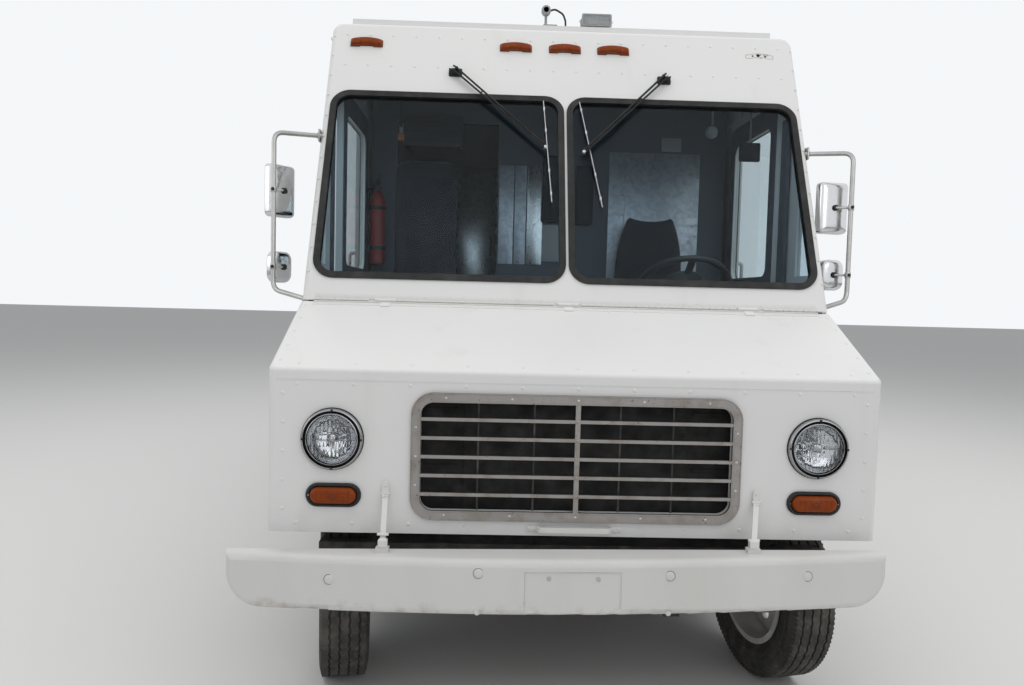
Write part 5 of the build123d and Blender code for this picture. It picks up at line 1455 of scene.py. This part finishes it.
def makeRearDoorTrim(settings, side):
    shape = bmesh.new()
    centre = (side * settings["doorMid"], (settings["doorLow"] + settings["doorHead"]) / 2)
    high = settings["doorHead"] - settings["doorLow"]
    outer = roundedOutline(settings["doorWide"] - 8, high - 14, 16, 0, 3)
    inner = roundedOutline(settings["doorWide"] - 50, high - 56, 4, 0, 3)
    addFrame(shape, rearFace, outer, inner, centre, sunk, 4, 1.5, 1)
    for z in settings["ribs"]:
        addPanel(shape, rearFace, 470, 30, (centre[0], z), sunk, 5, 14, 3, 2)
    for z in spaced(920, 2660, 116):
        for x in (centre[0] - 281, centre[0] + 281):
            addDome(shape, rearFace.at(x, z, 3.6), rearFace.out, 5, 2.2, 2)
    rodX, leverZ = side * settings["rodX"], settings["leverZ"]
    addPipe(shape, [rearFace.at(rodX, z, 22) for z in (900, 2680)], settings["rod"], 12, 0, 0)
    for z in settings["guides"]:
        addPanel(shape, rearFace, 54, 40, (rodX, z), sunk, 5, 6, 1.5, 0)
        addPanel(shape, rearFace, 34, 28, (rodX, z), 4, 34, 8, 6, 0)
    for z in settings["rodEnds"]:
        addPanel(shape, rearFace, 30, 22, (rodX, z), 8, 30, 4, 3, 0)
    lever = [rearFace.at(rodX + side * reach, leverZ, lift) for reach, lift in ((0, 34), (30, 44), (250, 44))]
    addPipe(shape, lever, 9, 12, 14, 0, 0.6)
    addPanel(shape, rearFace, 40, 60, (rodX + side * 230, leverZ - 5), sunk, 38, 8, 5, 0)
    name = "back_door_left" if side > 0 else "back_door_right"
    makePiece(shape, f"rearDoorTrim_{name}", name, ["silver", "rubber", "white"])


# Roof: lapped seams with rivets, vent louvres and the folded edge along the front
roofTrim = {
    "skin": 3115, "bar": 3127, "barStation": 1214, "barRows": ((-1060, -160), (310, 1060)), "seamHalf": 1030,
    "edgeX": 1040, "ends": (1335, 6305), "vent": 3560, "ventHalf": 300, "ventTop": 3295, "screw": 260,
    "louvreZ": 3176, "louvreGap": 17, "louvres": 6,
}


def makeRoofTrim(settings):
    shape = bmesh.new()
    top = Face(place(0, 0, settings["skin"]), xAxis, yAxis, zAxis)
    seamHalf, edgeX, small = settings["seamHalf"], settings["edgeX"], rivet["small"]
    for y in spaced(1960, 6100, 1035):
        addPanel(shape, top, 2120, 46, (0, y), sunk, 1.8, 3, 0.8, 0)
        for hand in (-14, 14):
            addRow(shape, top, (-seamHalf, y + hand), (seamHalf, y + hand), 105, radius=small)
    for x in (-edgeX, edgeX):
        addRow(shape, top, (x, 1340), (x, 6300), 115, radius=small)
    for y in settings["ends"]:
        addRow(shape, top, (-1000, y), (1000, y), 115, radius=small)
    vent, half = settings["vent"], settings["ventHalf"]
    walls = [(Face(place(0, vent + end * half, 0), xAxis, zAxis, yAxis * end), 0) for end in (-1, 1)]
    walls += [(Face(place(end * half, 0, 0), yAxis, zAxis, xAxis * end), vent) for end in (-1, 1)]
    for face, middle in walls:
        for step in range(settings["louvres"]):
            z = settings["louvreZ"] + step * settings["louvreGap"]
            addPanel(shape, face, 480, 9, (middle, z), sunk, 6, 4, 3, 1)
    hoodTop, screw = Face(place(0, vent, settings["ventTop"]), xAxis, yAxis, zAxis), settings["screw"]
    for u in (-screw, screw):
        for v in (-screw, screw):
            addDome(shape, hoodTop.at(u, v, -3), zAxis, 7, 2.6, 1)
    addPanel(shape, top, 700, 660, (0, vent), sunk, 3, 20, 1.5, 2)
    bar = Face(place(0, 0, settings["bar"]), xAxis, yAxis, zAxis)
    for start, end in settings["barRows"]:
        addRow(shape, bar, (start, settings["barStation"]), (end, settings["barStation"]), 115, radius=small)
    makePiece(shape, "roofTrim", "truck", ["white", "aluminium", "rubber"])


# Inside the cab, as seen through the glass
inside = {
    "wall": 1900, "floor": 862, "ceiling": 3012, "door": (-936, -559, 2526),
    "overBox": (-887, -532, 2603, 2783), "bottle": (-1037, 1843, 47), "tallPanel": (-611, -309, 2630),
    "sheet": (367, 925, 1500, 2619), "label": (685, 805, 2632, 2713), "cover": (-44, 80, 1940, 2163),
    "pads": ((-43, 73, 2178, 2582), (161, 271, 2166, 2528)), "strips": (-305, -37, 1918, 2520),
    "shade": (1020, 1250, 2519), "lamp": (814, 1250, 2620), "tag": (-863, 1500, 2592),
    "lampBowl": [(0, 22), (16, 20), (28, 10), (32, -8), (34, -14), (30, -14), (20, -4), (0, -2)],
}


def onWall(shape, face, edges, under, over, corner, ease, slot):
    # A panel given by its left, right, low and high edges
    left, right, low, high = edges
    centre = ((left + right) / 2, (low + high) / 2)
    addPanel(shape, face, right - left, high - low, centre, under, over, corner, ease, slot)


def addPartitionDoor(shape, wall, settings):
    left, right, head = settings["door"]
    onWall(shape, wall, (left, right, 866, head), -4, 24, 70, 5, 0)
    onWall(shape, wall, (left + 60, right - 60, 1750, head - 90), 22, 27, 50, 3, 0)
    addPanel(shape, wall, 26, 120, (right - 34, 1600), 22, 48, 8, 6, 3)
    left, right, low, high = settings["overBox"]
    onWall(shape, wall, (left, right, low, high), -2, 90, 14, 8, 0)
    for step in range(5):
        rib = (left + 24, right - 24, low + 24 + step * 28, low + 36 + step * 28)
        onWall(shape, wall, rib, 88, 94, 5, 3, 0)


def addExtinguisher(shape, wall, settings):
    x, station, radius = settings["bottle"]
    foot = place(x, station, 0)
    tank = [(0, 1890), (radius - 10, 1892), (radius, 1906), (radius, 2262), (radius - 6, 2292),
            (radius - 22, 2318), (16, 2334), (15, 2350)]
    addSpin(shape, tank, foot, zAxis, 32, 1)
    addSpin(shape, [(24, 2340), (26, 2366), (20, 2374), (16, 2392), (0, 2394)], foot, zAxis, 20, 3)
    levers = ((8, (0, 8, 2378), (10, -22, 2400), (22, -62, 2420)),
              (7, (0, 8, 2366), (14, -24, 2366), (24, -58, 2352)))
    for thick, *bends in levers:
        path = [place(x + across, station + along, z) for across, along, z in bends]
        addPipe(shape, path, thick, 8, 10, 3, 0.5)
    bends = ((-14, 0, 2356), (-62, -6, 2340), (-64, -8, 2150), (-54, -6, 2060))
    hose = [place(x + across, station + along, z) for across, along, z in bends]
    addPipe(shape, hose, 9, 10, 50, 3)
    addSpin(shape, [(9, 0), (15, -30), (17, -90), (13, -90), (0, -60)], hose[-1], zAxis, 16, 3)
    inner, outer = radius + 1, radius + 2.5
    for z in (1990, 2230):
        band = [(inner, z - 12), (outer, z - 11), (outer, z + 11), (inner, z + 12)]
        addSpin(shape, band, foot, zAxis, 32, 3)
    addPanel(shape, wall, 64, 330, (x, 2110), sunk, 9, 8, 2, 3)


def addWallSheets(shape, wall, settings):
    left, right, low, high = settings["strips"]
    for start, end, over, slot in ((left, -215, 5, 5), (-209, -139, 5, 5), (-133, right, 9, 4)):
        onWall(shape, wall, (start, end, low, high), sunk, over, 3, 2, slot)
        for z in spaced(low + 20, high - 20, 112):
            addDome(shape, wall.at((start + end) / 2, z, over - 1), wall.out, 5, 2.5, 4)
    for left, right, low, high in settings["pads"]:
        onWall(shape, wall, (left, right, low, high), sunk, 34, 16, 12, 6)
        onWall(shape, wall, (left + 14, right - 14, low + 14, high - 14), 30, 38, 10, 6, 6)
    onWall(shape, wall, settings["cover"], sunk, 7, 8, 2, 7)
    left, right, low, high = settings["sheet"]
    onWall(shape, wall, settings["sheet"], sunk, 4, 4, 1.5, 5)
    onWall(shape, wall, (left + 96, left + 104, low, high), 3, 7, 1, 1, 5)
    for z in spaced(low + 24, high - 24, 118):
        for u in (left + 14, left + 86, left + 118, right - 14):
            addDome(shape, wall.at(u, z, 3.5), wall.out, 5, 2.4, 4)
    onWall(shape, wall, settings["label"], sunk, 3, 3, 1, 7)


def addTallPanel(shape, settings):
    panelFace = Face(place(0, 2700, 0), xAxis, zAxis, -yAxis)
    left, right, high = settings["tallPanel"]
    onWall(shape, panelFace, (left, right, settings["floor"], high), -320, 12, 4, 2, 4)
    for z in (1510, 2070):
        addPanel(shape, panelFace, right - left - 20, 540, ((left + right) / 2, z), 10, 16, 6, 2, 4)
        addPanel(shape, panelFace, 14, 130, (right - 40, z), 14, 40, 5, 4, 8)


def addHangings(shape, settings):
    # The sun shade, the round lamp and the tag, each on a line from the ceiling
    ceiling = settings["ceiling"]
    x, station, z = settings["shade"]
    shade = Face(place(0, station, 0), xAxis, zAxis, -yAxis)
    addPanel(shape, shade, 112, 100, (x, z), -6, 6, 10, 4, 6)
    addPipe(shape, placed((x, station, 2566), (x, station, 2700), (x, station, ceiling)), 5, 8, 0, 8)
    x, station, z = settings["lamp"]
    lamp = place(x, station, z)
    addSpin(shape, settings["lampBowl"], lamp, -yAxis, 24, 8)
    stem = placed((x, station + 12, 2800), (x, station + 12, ceiling))
    addPipe(shape, [lamp + zAxis * 0.03] + stem, 6, 8, 20, 8)
    x, station, z = settings["tag"]
    tag = Face(place(0, station, 0), xAxis, zAxis, -yAxis)
    addPanel(shape, tag, 34, 40, (x, z), -4, 5, 10, 3, 9)
    addPanel(shape, tag, 20, 34, (x, z + 38), -3, 4, 8, 3, 7)
    addPipe(shape, placed((x, station, 2640), (x, station, 2780), (x, station, ceiling)), 2, 6, 0, 3)


def makeCabInside(settings):
    shape = bmesh.new()
    wall = Face(place(0, settings["wall"], 0), xAxis, zAxis, -yAxis)
    addPartitionDoor(shape, wall, settings)
    addExtinguisher(shape, wall, settings)
    addWallSheets(shape, wall, settings)
    addTallPanel(shape, settings)
    addHangings(shape, settings)
    keys = ["darkShadedDoor", "extinguisherRed", "silver", "satin", "stainless", "galvanised", "headliner",
            "paleTrim", "housing", "orangeTrim"]
    makePiece(shape, "cabInside", "truck", keys)


def makeCabLining():
    shape = bmesh.new()
    addBlock(shape, (-1124, 1150, 3004), (1124, 1896, 3020), 3, 0)
    for x in spaced(-960, 960, 240):
        addBlock(shape, (x - 9, 1156, 2999), (x + 9, 1890, 3006), 2.5, 0, 2)
    for side in (-1, 1):
        upright = Face(place(side * 1136, 0, 0), yAxis, zAxis, -xAxis * side)
        addPanel(shape, upright, 700, 100, (1500, 2948), -2, 8, 20, 4, 1)
        addBlock(shape, (side * 1134 - 22, 960, 862), (side * 1134, 1040, 2640), 4, 1)
    header = Face(cabFace.origin, xAxis, cabFace.up, -cabFace.out)
    addPanel(shape, header, 2240, 330, (0, 1290), 14, 34, 20, 5, 0)
    makePiece(shape, "cabLining", "truck", ["headliner", "cabLining"])


# Dashboard: gauges in the binnacle, switches, vents, and the steering wheel's hub and stalk
dash = {
    "panel": (650, 832, 1545), "face": (0, 760, 1545), "hub": (620, 960, 1800), "tilt": math.radians(35),
    "gauges": ((-150, 0, 46), (-50, 4, 46), (60, 18, 26), (120, 18, 26), (60, -34, 26), (120, -34, 26)),
    "pad": [(58, -46), (88, -34), (104, -8), (106, 6), (98, 15), (70, 21), (30, 24), (0, 24.5)],
    "shroud": [(62, -330), (66, -250), (74, -180), (78, -120), (74, -70), (60, -44)],
    "spokes": (0.5, 2.65, 4.71), "vents": (-900, -500, -120, 220), "demisters": (-700, -200, 300, 900),
}


def addGauge(shape, panel, x, z, radius):
    rim = [(radius + 5, -3), (radius + 5, 3), (radius + 1, 6), (radius - 3, 4)]
    addSpin(shape, rim, panel.at(x, z), yAxis, 30, 1)
    addSpin(shape, [(radius - 3, 0), (radius - 3, 1.5), (0, 1.5)], panel.at(x, z), yAxis, 30, 2)
    for step in range(9):
        turn = math.radians(-210 + step * 30)
        spot = panel.at(x + math.cos(turn) * (radius - 8), z - math.sin(turn) * (radius - 8), 1.5)
        addDome(shape, spot, yAxis, 1.6, 0.8, 3)
    addPipe(shape, [panel.at(x, z, 3), panel.at(x - radius * 0.5, z + radius * 0.35, 3)], 1.2, 6, 0, 4)
    addSpin(shape, [(4, 1), (4, 4), (0, 5)], panel.at(x, z), yAxis, 12, 1)


def addSteering(shape, settings):
    tilt, hub = settings["tilt"], place(*settings["hub"])
    axis = Vector((0, math.sin(tilt), math.cos(tilt)))
    ahead = Vector((0, -math.cos(tilt), math.sin(tilt)))
    addSpin(shape, settings["pad"], hub, axis, 40, 1)
    for turn in settings["spokes"]:
        spoke = xAxis * math.cos(turn) - ahead * math.sin(turn)
        path = [hub + spoke * 0.09, hub + spoke * 0.15 - axis * 0.003, hub + spoke * 0.207]
        addPipe(shape, path, 19, 12, 40, 1, 0.42)
    addSpin(shape, settings["shroud"], hub, axis, 32, 1)
    for hand in (-1, 1):
        root = hub - axis * 0.11 + xAxis * hand * 0.07
        tip = root + xAxis * hand * 0.14 + axis * 0.03
        addPipe(shape, [root, root + xAxis * hand * 0.06 + axis * 0.01, tip], 6, 10, 20, 1)
        addSpin(shape, [(5, -4), (9, 2), (9, 24), (5, 30), (0, 31)], tip, xAxis * hand, 14, 1)


def makeDashDetail(settings):
    shape = bmesh.new()
    panel = Face(place(*settings["panel"]), xAxis, zAxis, yAxis)
    for x, z, radius in settings["gauges"]:
        addGauge(shape, panel, x, z, radius)
    dashFace = Face(place(*settings["face"]), xAxis, zAxis, yAxis)
    for x in settings["vents"]:
        addPanel(shape, dashFace, 150, 60, (x, 30), -1, 6, 8, 3, 1)
        for step in range(5):
            addPanel(shape, dashFace, 136, 4, (x, 10 + step * 10), 4, 10, 1.5, 1, 0)
    addPanel(shape, dashFace, 420, 110, (-680, -50), -1, 5, 10, 2, 0)
    addPanel(shape, dashFace, 60, 16, (-680, -12), 4, 14, 5, 3, 1)
    for x in spaced(-60, 300, 45):
        addPanel(shape, dashFace, 26, 34, (x, -50), -1, 9, 4, 3, 1)
    for x in settings["demisters"]:
        addBlock(shape, (x - 140, 560, 1639), (x + 140, 590, 1645), 2, 1)
        for step in range(12):
            addBlock(shape, (x - 130 + step * 23, 562, 1643), (x - 120 + step * 23, 588, 1647), 1, 0, 1)
    addSteering(shape, settings)
    makePiece(shape, "dashDetail", "truck", ["dash", "wheelPlastic", "shadow", "paleTrim", "orangeTrim"])


# Driver's seat: a crowned cushion and a tall back that narrows at its top, on a steel pedestal
seat = {
    "cushion": ((600, 1540, 1290), (410, 470, 112)), "back": ((600, 1770, 1790), (412, 108, 860)),
    "pressure": 4.0, "frames": 20, "voxel": 0.008, "cap": 0.010, "fill": 0.75,
}


def crownedForm(name, spot, size, taper):
    # A pillow form: sides pulled in between the corners, crowned over its broad faces
    shape = bmesh.new()
    bmesh.ops.create_cube(shape, size=1.0)
    bmesh.ops.subdivide_edges(shape, edges=shape.edges[:], cuts=9, use_grid_fill=True)
    wide, long, high = size
    thin = 2 if high < long else 1
    for vertex in shape.verts:
        spread = [2 * part for part in vertex.co]
        for axis in range(3):
            others = [spread[other] for other in range(3) if other != axis]
            if axis == thin:
                spread[axis] *= 1 - 0.22 * max(abs(others[0]), abs(others[1])) ** 4
            else:
                pull = 0.05 * (1 - others[0] ** 2) * abs(spread[axis]) ** 2
                spread[axis] *= 1 - pull - 0.02 * others[1] ** 2
        if taper and spread[2] > 0:
            spread[0] *= 1 - taper * spread[2] ** 3
        for row in (-0.5, 0.0, 0.5):
            groove = math.exp(-((spread[0] - row) / 0.05) ** 2) * 0.05
            spread[thin] -= math.copysign(groove, spread[thin]) if abs(spread[thin]) > 0.5 else 0
        vertex.co = Vector((spread[0] * wide / 2, spread[1] * long / 2, spread[2] * high / 2)) * mm
        vertex.co += place(*spot)
    bmesh.ops.recalc_face_normals(shape, faces=shape.faces)
    mesh = bpy.data.meshes.new(name)
    shape.to_mesh(mesh)
    shape.free()
    mesh.materials.append(finish["seat"])
    piece = bpy.data.objects.new(name, mesh)
    bpy.context.scene.collection.objects.link(piece)
    return piece


def swellPad(piece, settings):
    # Inflates the pad as cloth, then keeps each point within a short way of where it began
    scene = bpy.context.scene
    remesh = piece.modifiers.new("fineSkin", "REMESH")
    remesh.mode, remesh.voxel_size = "VOXEL", settings["voxel"]
    keepApplied(piece)
    before = [vertex.co.copy() for vertex in piece.data.vertices]
    cloth = piece.modifiers.new("padCloth", "CLOTH")
    cloth.settings.use_pressure = True
    cloth.settings.uniform_pressure_force = settings["pressure"]
    cloth.settings.effector_weights.gravity = 0
    cloth.settings.quality = 4
    cloth.collision_settings.use_collision = False
    for step in range(1, settings["frames"] + 1):
        scene.frame_set(step)
    keepApplied(piece)
    scene.frame_set(1)
    for vertex, start in zip(piece.data.vertices, before):
        moved = vertex.co - start
        if moved.length > settings["cap"]:
            vertex.co = start + moved.normalized() * settings["cap"]


def keepApplied(piece):
    graph = bpy.context.evaluated_depsgraph_get()
    made = bpy.data.meshes.new_from_object(piece.evaluated_get(graph))
    old = piece.data
    piece.modifiers.clear()
    piece.data = made
    bpy.data.meshes.remove(old)


def makeSeat(settings):
    for name, taper in (("cushion", 0.0), ("back", 0.34)):
        spot, size = settings[name]
        piece = crownedForm(f"seat_{name}", spot, size, taper)
        swellPad(piece, settings)
        smooth = piece.modifiers.new("soften", "SUBSURF")
        smooth.levels = 1
        keepApplied(piece)
        piece.data.shade_smooth()
        if not piece.data.materials:
            piece.data.materials.append(finish["seat"])
        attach(piece, "truck")
    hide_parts("driver_seat")


def makeSeatBase():
    shape = bmesh.new()
    addBlock(shape, (420, 1330, 1205), (780, 1750, 1236), 8, 0, 3)
    addBlock(shape, (505, 1440, 866), (695, 1640, 1208), 10, 0, 3)
    addBlock(shape, (470, 1400, 861), (730, 1680, 872), 4, 0, 2)
    for u in (490, 710):
        for v in (1420, 1660):
            addHexHead(shape, place(u, v, 872), zAxis, 9, 8, 1)
    for x in (440, 760):
        addBlock(shape, (x - 12, 1690, 1210), (x + 12, 1800, 1420), 5, 0, 2)
        addSpin(shape, [(22, -16), (24, -12), (24, 12), (22, 16)], place(x, 1745, 1300), xAxis, 24, 1)
    addPipe(shape, placed((398, 1500, 1226), (392, 1420, 1226), (392, 1360, 1240)), 7, 10, 16, 1)
    makePiece(shape, "seatBase", "truck", ["satin", "silver"])


# Below the floor: U-bolts over the springs, the tank's straps and cap, and sheets beside the radiator
underDetail = {
    "springX": 400, "reach": 40, "axles": ((body["frontAxle"], 355, 440), (body["rearAxle"], 350, 515)),
    "strapStations": (2380, 2700, 3020), "cap": (-900, 2450, 600), "baffle": (424, 780),
    "straps": ((-440, 466, -900, 466), (-904, 466, -904, 694), (-440, 694, -900, 694)),
}


def addUBolts(shape, middle, station, low, high, reach):
    for y in (station - reach, station + reach):
        for x in (middle - reach, middle + reach):
            addPipe(shape, placed((x, y, low), (x, y, high + 22)), 7, 8, 0, 0)
            addHexHead(shape, place(x, y, low + 4), -zAxis, 11, 12, 0, 1.2)
        bow = placed((middle - reach, y, high + 20), (middle, y, high + 27), (middle + reach, y, high + 20))
        addPipe(shape, bow, 7, 8, 10, 0)


def makeUnderDetail(settings):
    shape = bmesh.new()
    for side in (-1, 1):
        for station, low, high in settings["axles"]:
            addUBolts(shape, side * settings["springX"], station, low, high, settings["reach"])
    for y in settings["strapStations"]:
        for x, z, farX, farZ in settings["straps"]:
            addPipe(shape, placed((x, y, z), (farX, y, farZ)), 14, 8, 0, 1, 0.2)
    addSpin(shape, [(40, 0), (40, 16), (34, 22), (0, 22)], place(*settings["cap"]), -xAxis, 28, 2)
    for side in (-1, 1):
        near, far = sorted(side * x for x in settings["baffle"])
        # Sheets beside the radiator, in its black that is darkened as painted shade
        addBlock(shape, (near, 60, 757), (far, 64, 1335), 1, 3)
        for z in (840, 1060, 1280):
            addBlock(shape, (near + 30, 55, z - 7), (far - 30, 61, z + 7), 2, 3)
    makePiece(shape, "underDetail", "truck", ["axleIron", "satin", "frame", "radiator"])


makeRearTrim(rearTrim)
for side in (-1, 1):
    makeRearDoorTrim(rearTrim, side)
makeRoofTrim(roofTrim)
print("rear and roof trim made")
makeCabInside(inside)
makeCabLining()
makeDashDetail(dash)
makeSeat(seat)
makeSeatBase()
print("cab inside made")
makeUnderDetail(underDetail)
print("underside detail made")
